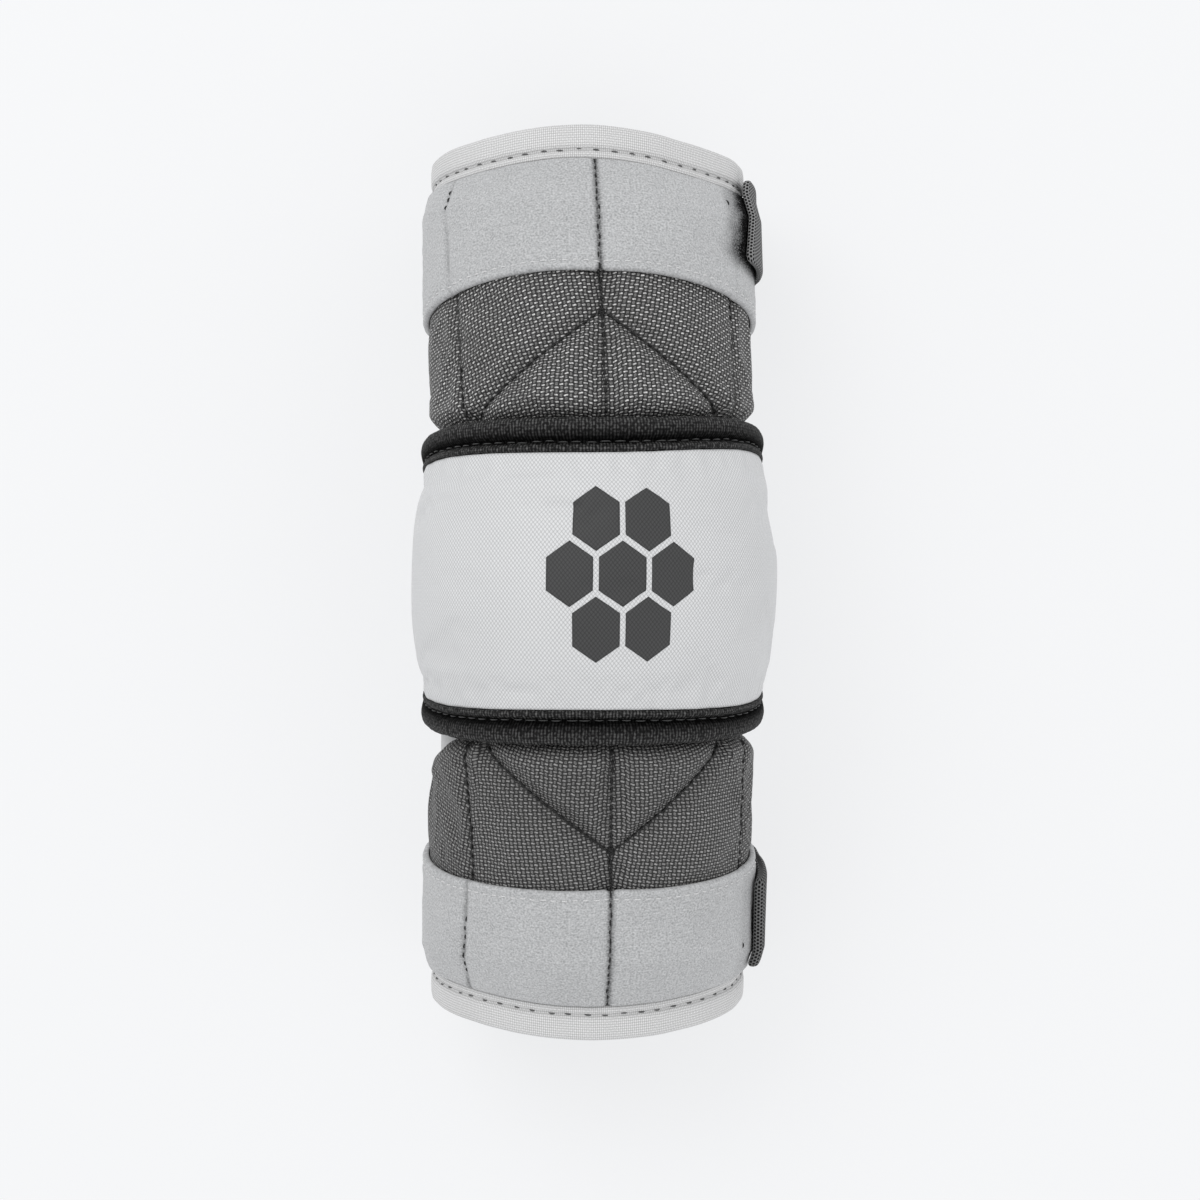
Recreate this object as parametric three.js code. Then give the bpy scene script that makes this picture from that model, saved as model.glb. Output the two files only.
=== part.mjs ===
// An arm pad for lacrosse: a padded sleeve with a quilted pad on each leg, a crowned cap over the
// elbow and a hook-and-loop strap round each leg. It lies on its back with the cap up.
// Millimetres, +Z up. Y runs along the arm with the upper arm at +Y, and X runs across it.
import * as THREE from "three";

// Sleeve
const SLEEVE_LENGTH = 286; // along the bent axis, rim to rim
const SLEEVE_WIDTH = 100; // outside the liner, left to right
const SLEEVE_DEPTH = 84; // outside the liner, front to back
const LINER_WALL = 2.5;
const ELBOW_BEND = 16; // degrees that each leg leans back
const BEND_LENGTH = 90; // stretch of the axis that holds the bend
const AXIS_SWAY = 2.3; // how far both rims lie to the left of the elbow
const REST_FLATTENING = 3.6; // how much the backs of the rims are pressed flat by the pad's weight
const CLEARANCE = 0.4; // between neighbouring pieces

// Quilted pads on the legs
const PAD_FRONT = 9; // thickness at the front
const PAD_SIDE = 2.5; // thickness at the sides
const PAD_RIM = 1.4; // thickness where the pad runs under the rim tape
const PAD_TAPER = 18; // length over which it thins towards the rim, at the front
const PAD_SIDE_TAPER = 8; // the same at the sides
const PAD_ROUNDING = 6; // length of its rounded end at the elbow
const PAD_REACH = 100; // degrees round the arm from the front
const PAD_EDGE = 12; // degrees over which its long edges thin out
const SEAM_DEPTH = 3;
const SEAM_WIDTH = 3.6;
const PILLOW_RISE = 1.2; // how far the foam stands up between the seams
const PILLOW_WIDTH = 9;
const SEAM_ROLL = 7; // degrees that the seams are turned to the right about the axis
const SIDE_SEAM = 62; // degrees from the centre seam to each side seam
const CHEVRON_REACH = 52; // degrees from the centre seam to the end of a chevron's arm
const CHEVRON_HEIGHT = 35; // from the pad's elbow end to the chevron's point

// Cap over the elbow and its bound edge
const CAP_FRONT_LENGTH = 61;
const CAP_SIDE_LENGTH = 71;
const CAP_FRONT = 15; // thickness at the front
const CAP_SIDE = 8.8; // thickness at the sides
const CAP_LIFT = 3.5; // how much further its right side reaches up the arm
const CAP_REACH = 105; // degrees round the arm from the front
const CAP_CORNER = 14; // radius of its hidden corners
const CAP_CROWN = 2.4; // power of its crowned profile along the arm
const ROLL_WIDTH = 8.6; // bound edge, seen from the front
const ROLL_RISE = 0.8; // how far it stands above the cap's edge

// Loop bands, straps and pull tabs
const BAND_WIDTH = 50; // partly hidden by the rim tape
const BAND_WALL = 2;
const BAND_LEFT = PAD_REACH - 3; // degrees from the front to its sewn end on the left
const BAND_RIGHT = 146; // degrees from the front to its end on the right, under the strap
const BAND_SEAM_SHARE = 0.4; // how much of a pad's seam shows through the band
const STRAP_WIDTH = 38;
const STRAP_WALL = 1.6;
const STRAP_END = 107; // degrees from the front to the strap's free end on the right
const PATCH_WIDTH = 32;
const PATCH_WALL = 1;
const PATCH_FROM = 104;
const PATCH_TO = 141;
const TAB_WALL = 2.6;
const TAB_WIDTH = 34;
const TAB_FROM = 76; // degrees from the front to the tab's free end
const TAB_TO = 120;
const TAB_STAND = 0.7; // how far its free end stands off the band

// Tape folded round the rims
const TAPE_WALL = 1.8;
const TAPE_COVER = 10.5;

// The legs. Distances from the elbow are shares of half the sleeve: the rim at each of RIM_ANGLES, the
// band's upper edge, and the strap's middle at its tab and at the back. bandSide is a share of
// BAND_WIDTH, and the corners are shares of PAD_FRONT.
const RIM_ANGLES = [-180, -90, -45, 0, 45, 90, 180];
const LEGS = [
  {
    name: "upper", pad: "upper_arm_pad", end: 1, rim: [1, 1.005, 0.972, 0.978, 0.958, 0.993, 1],
    bandTop: 0.961, bandSide: 1.03, strapTab: 0.825, strapBack: 0.765, cornerLeft: 2.4, cornerRight: 2,
  },
  {
    name: "forearm", pad: "forearm_pad", end: -1, rim: [1, 0.996, 0.971, 0.979, 0.979, 0.996, 1],
    bandTop: 0.955, bandSide: 0.92, strapTab: 0.787, strapBack: 0.765, cornerLeft: 5.5, cornerRight: 2,
  },
];

// Section of the bound edge: across as a share of its width, from the cap outwards, and height as a
// share of its own height.
const ROLL_SECTION = [
  { across: -0.5, height: 0 },
  { across: 0, height: 0 },
  { across: 0.44, height: 0 },
  { across: 0.5, height: 0.3 },
  { across: 0.5, height: 0.66 },
  { across: 0.36, height: 0.93 },
  { across: 0.1, height: 1 },
  { across: -0.14, height: 0.92 },
  { across: -0.24, height: 0.8 },
  { across: -0.34, height: 0.9 },
  { across: -0.5, height: 0.86 },
];

const COLUMN_STEP = 12; // degrees between the lines that run along the sleeve
const SEAM_LINE = 4; // degrees from a seam to the line beside it
const SAME_LINE = 0.5; // degrees below which two lines count as one
const RIM_EASING = 12; // degrees over which the rim's line is rounded at each of its angles
const QUARTER = 90;
const HALF_TURN = 180;

const radians = THREE.MathUtils.degToRad;
const lerp = THREE.MathUtils.lerp;
const clamp = THREE.MathUtils.clamp;

const halfLength = SLEEVE_LENGTH / 2;
const halfWidth = SLEEVE_WIDTH / 2;
const halfDepth = SLEEVE_DEPTH / 2;
const meanRadius = (halfWidth + halfDepth) / 2;
const bend = radians(ELBOW_BEND);
const bentHalf = BEND_LENGTH / 2;
const bendRadius = bentHalf / bend;
const tapeOutside = CLEARANCE + TAPE_WALL;

// The sleeve's axis: an arc at the elbow and a straight, leaning leg on either side of it.
function axisAt(s) {
  const bent = Math.min(Math.abs(s), bentHalf);
  const straight = Math.abs(s) - bent;
  const lean = (bent / bentHalf) * bend;
  const side = Math.sign(s);
  const share = clamp(Math.abs(s) / halfLength, 0, 1);
  return {
    x: -AXIS_SWAY * share * share * (3 - 2 * share),
    y: side * (bendRadius * Math.sin(lean) + straight * Math.cos(lean)),
    drop: bendRadius * (1 - Math.cos(lean)) + straight * Math.sin(lean),
    lean: side * lean,
  };
}

// Share of the way from the front of the sleeve to its side, all the way round the back as well.
function sideShare(angle) {
  return Math.abs(angle) < QUARTER ? Math.sin(radians(angle)) ** 2 : 1;
}

// Straight from row to row of the leg's rim line.
function rimShare(leg, angle) {
  const turned = clamp(angle, -HALF_TURN, HALF_TURN);
  const next = Math.max(1, RIM_ANGLES.findIndex((row) => turned <= row));
  const share = (turned - RIM_ANGLES[next - 1]) / (RIM_ANGLES[next] - RIM_ANGLES[next - 1]);
  return lerp(leg.rim[next - 1], leg.rim[next], share);
}

function rimEnd(leg, angle) {
  const turned = angle > HALF_TURN ? angle - 2 * HALF_TURN : angle;
  const shares = [-1, 0, 1].map((side) => rimShare(leg, turned + side * RIM_EASING));
  return (halfLength * (shares[0] + shares[1] + shares[2])) / 3;
}

// Height of the axis at the elbow, with the backs of both rims pressed flat on the ground.
const lowestRim = Math.min(
  ...LEGS.map((leg) => {
    const { drop, lean } = axisAt(rimEnd(leg, HALF_TURN));
    return -drop - (halfDepth + tapeOutside) * Math.cos(lean);
  }),
);
const elbowHeight = -lowestRim - REST_FLATTENING;

// A point at s along the axis, at an angle round it from the front (positive to the right), and at an
// offset outside the liner. Nothing goes below the ground: each layer keeps its own height above it.
function place(s, angle, offset) {
  const { x, y, drop, lean } = axisAt(s);
  const across = (halfWidth + offset) * Math.sin(radians(angle));
  const rise = (halfDepth + offset) * Math.cos(radians(angle));
  const z = elbowHeight - drop + rise * Math.cos(lean);
  return new THREE.Vector3(x + across, y + rise * Math.sin(lean), Math.max(z, tapeOutside - offset));
}

const seamAngles = [SEAM_ROLL - SIDE_SEAM, SEAM_ROLL, SEAM_ROLL + SIDE_SEAM];

// Angles of the lines that all pieces share: even steps, with three lines at each seam.
const sharedColumns = (() => {
  const angles = seamAngles.flatMap((seam) => [seam - SEAM_LINE, seam, seam + SEAM_LINE]);
  for (let angle = -HALF_TURN; angle < HALF_TURN; angle += COLUMN_STEP) {
    if (seamAngles.every((seam) => Math.abs(angle - seam) >= 2 * SEAM_LINE)) {
      angles.push(angle);
    }
  }
  return angles.sort((a, b) => a - b);
})();

// The shared lines between two angles, with the two angles themselves and any others that are asked for.
function columnsBetween(from, to, others = []) {
  const inside = [-2, 0, 2]
    .flatMap((turn) => sharedColumns.map((angle) => angle + turn * HALF_TURN))
    .filter((angle) => angle > from + SAME_LINE && angle < to - SAME_LINE)
    .filter((angle) => others.every((other) => Math.abs(angle - other) > SAME_LINE));
  return [from, to, ...others, ...inside].sort((a, b) => a - b);
}

// Edges that cross the legs, each as a distance from the elbow at an angle round the arm.
function tapeEdge(leg, angle) {
  return rimEnd(leg, angle) - TAPE_COVER;
}

function bandTop(leg, angle) {
  return tapeEdge(leg, angle) - CLEARANCE;
}

function bandLow(leg, angle) {
  return halfLength * leg.bandTop - BAND_WIDTH * lerp(1, leg.bandSide, sideShare(angle));
}

function taperLength(angle) {
  return lerp(PAD_TAPER, PAD_SIDE_TAPER, sideShare(angle));
}

function taperStart(leg, angle) {
  return bandTop(leg, angle) - taperLength(angle);
}

function capEnd(angle, end) {
  const lift = end > 0 && angle > 0 ? CAP_LIFT * sideShare(angle) : 0;
  return lerp(CAP_FRONT_LENGTH, CAP_SIDE_LENGTH, sideShare(angle)) / 2 + lift;
}

function padEnd(leg, angle) {
  const corner = PAD_FRONT * (angle < SEAM_ROLL ? leg.cornerLeft : leg.cornerRight);
  const beside = SIDE_SEAM - PAD_EDGE;
  const turn = clamp((Math.abs(angle) - beside) / (PAD_REACH + SEAM_LINE - beside), 0, 1);
  return capEnd(angle, leg.end) + ROLL_WIDTH + 2 * CLEARANCE + corner * (1 - Math.sqrt(1 - turn * turn));
}

// The line of the chevron's seam, which ends at the pad's elbow end.
function chevron(leg, angle) {
  return padEnd(leg, angle) + CHEVRON_HEIGHT * (1 - Math.abs(angle - SEAM_ROLL) / CHEVRON_REACH);
}

// A quarter circle from 0 to 1.
function rounded(share) {
  const rest = 1 - clamp(share, 0, 1);
  return Math.sqrt(1 - rest * rest);
}

// Distance from a point on a pad to its nearest seam.
function seamDistance(leg, s, angle) {
  const beside = seamAngles.map((seam) => Math.abs(radians(angle - seam)) * meanRadius);
  if (Math.abs(angle - SEAM_ROLL) < CHEVRON_REACH) {
    const slope = CHEVRON_HEIGHT / (radians(CHEVRON_REACH) * meanRadius);
    beside.push(Math.abs(s - chevron(leg, angle)) / Math.hypot(1, slope));
  }
  return Math.min(...beside);
}

// Thickness of a pad at s from the elbow, with its seams pressed in by a share of their depth.
function padThickness(leg, s, angle, seamShare = 1) {
  const across = Math.max(0, Math.cos(radians(angle))) ** 1.2;
  const full = lerp(PAD_SIDE, PAD_FRONT - PILLOW_RISE, across);
  const edge = Math.max(0.28, rounded((PAD_REACH - Math.abs(angle)) / PAD_EDGE));
  const end = Math.max(0.35, rounded((s - padEnd(leg, angle)) / PAD_ROUNDING));
  const taper = clamp((s - taperStart(leg, angle)) / taperLength(angle), 0, 1);
  const thick = lerp(full * edge * end, Math.min(full * edge, PAD_RIM), taper);
  const distance = seamDistance(leg, s, angle);
  const pressed = Math.min(SEAM_DEPTH, thick / 2) * Math.exp(-((distance / SEAM_WIDTH) ** 2));
  const pillow = PILLOW_RISE * across * (1 - taper) * end * (1 - Math.exp(-((distance / PILLOW_WIDTH) ** 2)));
  return thick - seamShare * pressed + pillow;
}

// Offset of the outside of what lies under a band: the pad, then the bare liner past its edge.
function underBand(leg, s, angle) {
  const reach = PAD_REACH + COLUMN_STEP / 2;
  if (Math.abs(angle) <= PAD_REACH) {
    return CLEARANCE + padThickness(leg, s, angle, BAND_SEAM_SHARE);
  }
  const past = clamp((reach - Math.abs(angle)) / (reach - PAD_REACH), 0, 1);
  return past * (CLEARANCE + padThickness(leg, s, PAD_REACH, BAND_SEAM_SHARE));
}

// 1 up to an edge and a little past it, then down to 0 over one step of columns.
function stepDown(angle, edge) {
  return clamp((edge + SEAM_LINE / 2 + COLUMN_STEP - angle) / COLUMN_STEP, 0, 1);
}

// Offset of the inside of a strap, which climbs over the band and the hook patch on the right.
function underStrap(leg, s, angle) {
  if (angle > HALF_TURN) {
    return underBand(leg, s, angle - 2 * HALF_TURN) + CLEARANCE;
  }
  const band = stepDown(angle, BAND_RIGHT) * (CLEARANCE + BAND_WALL);
  const patch = stepDown(angle, PATCH_TO) * (CLEARANCE + PATCH_WALL);
  return underBand(leg, s, angle) + band + patch + CLEARANCE;
}

// Turns the faces of a closed mesh outwards.
function faceOut(geometry) {
  const { position } = geometry.attributes;
  const { array } = geometry.index;
  const [a, b, c] = [new THREE.Vector3(), new THREE.Vector3(), new THREE.Vector3()];
  let volume = 0;
  for (let i = 0; i < array.length; i += 3) {
    a.fromBufferAttribute(position, array[i]);
    b.fromBufferAttribute(position, array[i + 1]);
    c.fromBufferAttribute(position, array[i + 2]);
    volume += a.dot(b.cross(c));
  }
  if (volume < 0) {
    for (let i = 0; i < array.length; i += 3) {
      [array[i + 1], array[i + 2]] = [array[i + 2], array[i + 1]];
    }
  }
  geometry.computeVertexNormals();
  return geometry;
}

function meshGeometry(points, faces) {
  const geometry = new THREE.BufferGeometry().setFromPoints(points);
  geometry.setIndex(faces);
  return faceOut(geometry);
}

// A closed slab on a grid: pointAt(row, column, outer) is a point of its inside (0) or outside (1).
function slab(rowCount, columnCount, pointAt) {
  const points = [];
  for (const outer of [0, 1]) {
    for (let row = 0; row < rowCount; row += 1) {
      for (let column = 0; column < columnCount; column += 1) {
        points.push(pointAt(row, column, outer));
      }
    }
  }
  const at = (row, column, outer) => (outer * rowCount + row) * columnCount + column;
  const faces = [];
  const quad = (a, b, c, d) => faces.push(a, b, c, a, c, d);
  for (let row = 0; row + 1 < rowCount; row += 1) {
    for (let column = 0; column + 1 < columnCount; column += 1) {
      quad(at(row, column, 1), at(row, column + 1, 1), at(row + 1, column + 1, 1), at(row + 1, column, 1));
      quad(at(row, column, 0), at(row + 1, column, 0), at(row + 1, column + 1, 0), at(row, column + 1, 0));
    }
  }
  const rim = [];
  for (let column = 0; column + 1 < columnCount; column += 1) {
    rim.push([0, column]);
  }
  for (let row = 0; row + 1 < rowCount; row += 1) {
    rim.push([row, columnCount - 1]);
  }
  for (let column = columnCount - 1; column > 0; column -= 1) {
    rim.push([rowCount - 1, column]);
  }
  for (let row = rowCount - 1; row > 0; row -= 1) {
    rim.push([row, 0]);
  }
  rim.forEach((here, i) => {
    const next = rim[(i + 1) % rim.length];
    quad(at(...here, 0), at(...next, 0), at(...next, 1), at(...here, 1));
  });
  return meshGeometry(points, faces);
}

// A closed ring: pointAt(step, corner) is a corner of its section at a step of its closed path.
function ring(stepCount, cornerCount, pointAt) {
  const points = [];
  for (let step = 0; step < stepCount; step += 1) {
    for (let corner = 0; corner < cornerCount; corner += 1) {
      points.push(pointAt(step, corner));
    }
  }
  const at = (step, corner) => (step % stepCount) * cornerCount + (corner % cornerCount);
  const faces = [];
  for (let step = 0; step < stepCount; step += 1) {
    for (let corner = 0; corner < cornerCount; corner += 1) {
      faces.push(at(step, corner), at(step, corner + 1), at(step + 1, corner + 1));
      faces.push(at(step, corner), at(step + 1, corner + 1), at(step + 1, corner));
    }
  }
  return meshGeometry(points, faces);
}

// The liner: a wall of one thickness from rim to rim, open at both ends.
function linerSleeve() {
  const shares = [0.09, 0.18, 0.27, 0.36, 0.56, 0.76, 0.92];
  const [upper, forearm] = LEGS;
  const legStations = (leg, angle) => {
    const edge = tapeEdge(leg, angle);
    const end = rimEnd(leg, angle);
    return [...shares.map((share) => share * edge), edge, (edge + end) / 2, end].map((s) => s * leg.end);
  };
  const stationsAt = (angle) => [...legStations(forearm, angle).reverse(), 0, ...legStations(upper, angle)];
  const rowCount = stationsAt(0).length;
  return ring(sharedColumns.length, 2 * rowCount, (step, corner) => {
    const angle = sharedColumns[step];
    const outer = corner < rowCount;
    const row = outer ? corner : 2 * rowCount - 1 - corner;
    return place(stationsAt(angle)[row], angle, outer ? 0 : -LINER_WALL);
  });
}

// Rows of a pad: the elbow end, the chevron and the band's edge are lines of their own.
function padRows(leg, angle) {
  const low = padEnd(leg, angle);
  const point = Math.max(chevron(leg, angle), low + PAD_ROUNDING);
  const band = Math.max(bandLow(leg, angle), point + PAD_ROUNDING);
  const taper = taperStart(leg, angle);
  return [
    ...[0, 0.06, 0.17, 0.52, 0.89].map((share) => lerp(low, point, share)),
    ...[0, 0.3, 0.65].map((share) => lerp(point, band, share)),
    ...[0, 0.5].map((share) => lerp(band, taper, share)),
    taper,
    bandTop(leg, angle),
  ];
}

function quiltedPad(leg) {
  const columns = columnsBetween(-PAD_REACH, PAD_REACH);
  const rowCount = padRows(leg, 0).length;
  return slab(rowCount, columns.length, (row, column, outer) => {
    const angle = columns[column];
    const s = padRows(leg, angle)[row];
    return place(leg.end * s, angle, CLEARANCE + outer * padThickness(leg, s, angle));
  });
}

function loopBand(leg) {
  const columns = columnsBetween(-BAND_LEFT, BAND_RIGHT, [PAD_REACH, PAD_REACH + COLUMN_STEP / 2]);
  const rowsAt = (angle) => {
    const low = bandLow(leg, angle);
    const taper = taperStart(leg, angle);
    return [low, (low + taper) / 2, taper, bandTop(leg, angle)];
  };
  return slab(rowsAt(0).length, columns.length, (row, column, outer) => {
    const angle = columns[column];
    const s = rowsAt(angle)[row];
    return place(leg.end * s, angle, underBand(leg, s, angle) + CLEARANCE + outer * BAND_WALL);
  });
}

// Line that the strap, its patch and its tab are centred on, which slants from the tab to the back.
function strapMiddle(leg, angle) {
  const share = clamp((angle - STRAP_END) / (BAND_RIGHT - STRAP_END), 0, 1);
  return halfLength * lerp(leg.strapTab, leg.strapBack, share);
}

// A flat strip round the arm, with an inside offset, a wall and a width at each angle.
function strip(leg, columns, insideAt, wall, widthAt, rowCount) {
  return slab(rowCount, columns.length, (row, column, outer) => {
    const angle = columns[column];
    const across = widthAt(angle) * (row / (rowCount - 1) - 0.5);
    const s = strapMiddle(leg, angle) + across;
    return place(leg.end * s, angle, insideAt(s, angle) + outer * wall);
  });
}

function strap(leg) {
  const start = 2 * HALF_TURN - BAND_LEFT - SEAM_LINE / 2;
  const steps = [PATCH_TO, BAND_RIGHT].flatMap((edge) => [edge + SEAM_LINE / 2]);
  const padPast = 2 * HALF_TURN - PAD_REACH - COLUMN_STEP / 2;
  const columns = columnsBetween(STRAP_END, start, [...steps, padPast, 2 * HALF_TURN - PAD_REACH]);
  return strip(leg, columns, (s, angle) => underStrap(leg, s, angle), STRAP_WALL, () => STRAP_WIDTH, 2);
}

function hookPatch(leg) {
  const columns = columnsBetween(PATCH_FROM, PATCH_TO);
  const inside = (s, angle) => underBand(leg, s, angle) + BAND_WALL + 2 * CLEARANCE;
  return strip(leg, columns, inside, PATCH_WALL, () => PATCH_WIDTH, 2);
}

// The tab lies on the strap's end, and its free end stands off the band.
function pullTab(leg) {
  const columns = columnsBetween(TAB_FROM, TAB_TO, [TAB_FROM + SEAM_LINE / 2]);
  const overStrap = (s, angle) => underStrap(leg, s, angle) + STRAP_WALL + CLEARANCE;
  const inside = (s, angle) => {
    if (angle >= STRAP_END) {
      return overStrap(s, angle);
    }
    const free = (STRAP_END - angle) / (STRAP_END - TAB_FROM);
    const standing = underBand(leg, s, angle) + BAND_WALL + 2 * CLEARANCE + TAB_STAND * free;
    const strapEnd = overStrap(s, STRAP_END);
    return Math.max(standing, lerp(strapEnd, standing, clamp(2 * free, 0, 1)));
  };
  const width = (angle) => TAB_WIDTH * (angle === TAB_FROM ? 0.9 : 1);
  return strip(leg, columns, inside, TAB_WALL, width, 3);
}

// Tape folded round a rim: a U in section, over the liner, past its end and back inside it.
function rimTape(leg) {
  const inside = -LINER_WALL - CLEARANCE;
  const middle = -LINER_WALL / 2;
  const reach = tapeOutside - middle;
  const cornersAt = (angle) => {
    const edge = tapeEdge(leg, angle);
    const end = rimEnd(leg, angle);
    const half = (edge + end) / 2;
    return [
      [edge, CLEARANCE],
      [edge, tapeOutside],
      [half, tapeOutside],
      [end, tapeOutside],
      [end + CLEARANCE + 0.75 * TAPE_WALL, middle + 0.7 * reach],
      [end + CLEARANCE + TAPE_WALL, middle],
      [end + CLEARANCE + 0.75 * TAPE_WALL, middle - 0.7 * reach],
      [end, inside - TAPE_WALL],
      [half, inside - TAPE_WALL],
      [edge, inside - TAPE_WALL],
      [edge, inside],
      [half, inside],
      [end + CLEARANCE, inside],
      [end + CLEARANCE, CLEARANCE],
      [half, CLEARANCE],
    ];
  };
  const count = cornersAt(0).length;
  // The corners run the way that the liner's stations do, so that the faces of both turn alike.
  return ring(sharedColumns.length, count, (step, corner) => {
    const angle = sharedColumns[step];
    const [s, offset] = cornersAt(angle)[leg.end > 0 ? count - 1 - corner : corner];
    return place(leg.end * s, angle, offset);
  });
}

const cornerTurn = radians(CAP_REACH) - CAP_CORNER / meanRadius; // where the cap's corners start
const cornerDegrees = THREE.MathUtils.radToDeg(cornerTurn);
const CORNER_TURNS = [30, 60, 90]; // degrees round a corner

// Length of the cap's upper (1) or lower (-1) half at an angle, with its corners rounded.
function capHalf(angle, end) {
  const past = Math.max(0, (radians(Math.abs(angle)) - cornerTurn) * meanRadius);
  const straight = capEnd(clamp(angle, -cornerDegrees, cornerDegrees), end);
  return straight - CAP_CORNER + Math.sqrt(Math.max(0, CAP_CORNER ** 2 - past ** 2));
}

// Thickness of the cap at its middle, and of its edge.
function capThickness(angle) {
  const across = Math.max(0, Math.cos(radians(angle)));
  const last = clamp((CAP_REACH - Math.abs(angle)) / (CAP_REACH - QUARTER), 0, 1);
  return lerp(CAP_SIDE, CAP_FRONT, across) * lerp(0.6, 1, rounded(last));
}

function capEdge(angle) {
  return capThickness(angle) * lerp(0.7, 0.53, sideShare(angle));
}

function cornerAngles() {
  const arcs = CORNER_TURNS.map((turn) => (CAP_CORNER * Math.sin(radians(turn))) / meanRadius);
  return arcs.map((arc) => cornerDegrees + THREE.MathUtils.radToDeg(arc));
}

function elbowCap() {
  const ends = cornerAngles();
  const columns = [
    ...ends.map((angle) => -angle).reverse(),
    ...columnsBetween(-cornerDegrees, cornerDegrees),
    ...ends,
  ];
  const half = [0.25, 0.5, 0.72, 0.88, 1];
  const shares = [...half.map((share) => -share).reverse(), 0, ...half];
  return slab(shares.length, columns.length, (row, column, outer) => {
    const angle = columns[column];
    const share = shares[row];
    const thick = lerp(capThickness(angle), capEdge(angle), Math.abs(share) ** CAP_CROWN);
    return place(share * capHalf(angle, Math.sign(share)), angle, CLEARANCE + outer * thick);
  });
}

// The cap's outline as a closed path: a point (s and angle) with the outward direction at it.
function capOutline() {
  const path = [];
  const side = columnsBetween(-cornerDegrees, cornerDegrees);
  const corner = (end, edge, turn) => {
    const alongS = end * Math.cos(radians(turn));
    const alongArc = edge * Math.sin(radians(turn));
    const middle = end * (capEnd(edge * cornerDegrees, end) - CAP_CORNER);
    const arc = edge * cornerTurn * meanRadius + CAP_CORNER * alongArc;
    const angle = THREE.MathUtils.radToDeg(arc / meanRadius);
    return { s: middle + CAP_CORNER * alongS, angle, alongS, alongArc };
  };
  for (const end of [1, -1]) {
    for (const angle of end > 0 ? side : [...side].reverse()) {
      path.push({ s: end * capEnd(angle, end), angle, alongS: end, alongArc: 0 });
    }
    const first = CORNER_TURNS.map((turn) => corner(end, end, turn));
    const second = [...CORNER_TURNS].reverse().map((turn) => corner(-end, end, turn));
    const reach = [0.5, 0, -0.5].map((share) => ({ ...second[0], s: -share * second[0].s }));
    path.push(...first, ...reach, ...second);
  }
  return path;
}

function capBinding() {
  const path = capOutline();
  return ring(path.length, ROLL_SECTION.length, (step, corner) => {
    const { s, angle, alongS, alongArc } = path[step];
    const { across, height } = ROLL_SECTION[corner];
    const out = CLEARANCE + ROLL_WIDTH * (0.5 + across);
    const turned = angle + THREE.MathUtils.radToDeg((out * alongArc) / meanRadius);
    const tall = capEdge(Math.min(Math.abs(angle), CAP_REACH)) + ROLL_RISE;
    return place(s + out * alongS, turned, 1.5 * CLEARANCE + height * tall);
  });
}

const FINISHES = {
  liner: { color: 0xcfd0d2, roughness: 0.95 },
  mesh: { color: 0x5c5c5a, roughness: 0.8 },
  twill: { color: 0xd8d9da, roughness: 0.6 },
  elastic: { color: 0x2c2c2d, roughness: 0.85 },
  loop: { color: 0xbfc1c3, roughness: 1 },
  hook: { color: 0x2a2a2b, roughness: 0.7 },
  spacer: { color: 0x4c4c4c, roughness: 0.85 },
  tape: { color: 0xd5d5d3, roughness: 0.9 },
};

const group = new THREE.Group();

function add(name, geometry, finish) {
  const material = new THREE.MeshStandardMaterial({ ...FINISHES[finish], metalness: 0 });
  const mesh = new THREE.Mesh(geometry, material);
  mesh.name = name;
  group.add(mesh);
}

add("liner_sleeve", linerSleeve(), "liner");
add("elbow_cap", elbowCap(), "twill");
add("elbow_cap_binding", capBinding(), "elastic");
for (const leg of LEGS) {
  add(leg.pad, quiltedPad(leg), "mesh");
  add(`${leg.name}_loop_band`, loopBand(leg), "loop");
  add(`${leg.name}_strap`, strap(leg), "loop");
  add(`${leg.name}_hook_patch`, hookPatch(leg), "hook");
  add(`${leg.name}_pull_tab`, pullTab(leg), "spacer");
  add(`${leg.name}_rim_binding`, rimTape(leg), "tape");
}

export default group;
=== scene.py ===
"""Looks of a lacrosse arm pad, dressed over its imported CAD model.

Shapes are worked out in millimetres in the arm's own coordinates: s along its bent axis from the elbow
(towards a rim), an angle round it from the front (degrees, positive to the right) and an offset outside
the liner. They are put into the row frame in metres.
"""

import logging
import math
from collections.abc import Callable
from dataclasses import dataclass, field
from enum import Enum

import bpy
import numpy as np
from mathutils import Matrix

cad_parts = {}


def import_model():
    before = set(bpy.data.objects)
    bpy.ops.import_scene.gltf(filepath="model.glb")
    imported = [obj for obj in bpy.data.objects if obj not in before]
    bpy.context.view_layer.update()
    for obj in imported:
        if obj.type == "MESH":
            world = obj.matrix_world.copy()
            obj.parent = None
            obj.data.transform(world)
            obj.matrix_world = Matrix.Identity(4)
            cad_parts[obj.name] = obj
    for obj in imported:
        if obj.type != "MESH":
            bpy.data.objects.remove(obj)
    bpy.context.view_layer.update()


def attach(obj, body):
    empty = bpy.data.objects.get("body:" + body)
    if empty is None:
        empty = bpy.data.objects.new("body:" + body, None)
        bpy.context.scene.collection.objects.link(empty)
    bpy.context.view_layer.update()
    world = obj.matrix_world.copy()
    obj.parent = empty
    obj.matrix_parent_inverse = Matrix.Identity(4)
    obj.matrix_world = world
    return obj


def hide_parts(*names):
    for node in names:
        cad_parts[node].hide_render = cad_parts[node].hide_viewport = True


Array = np.ndarray
Socket = bpy.types.NodeSocket
Sockets = bpy.types.bpy_prop_collection
METRES = 0.001  # of a millimetre
TWILL_PITCH = 0.00084  # between the yarns of the cap's cloth, in metres
FAR = 99.0  # millimetres, further than any seam reaches
log = logging.getLogger("arm_pad")


# Numbers on whole arrays


def mix(start: Array, end: Array, share: Array) -> Array:
    """Straight from start to end."""
    return start + (end - start) * share


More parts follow.
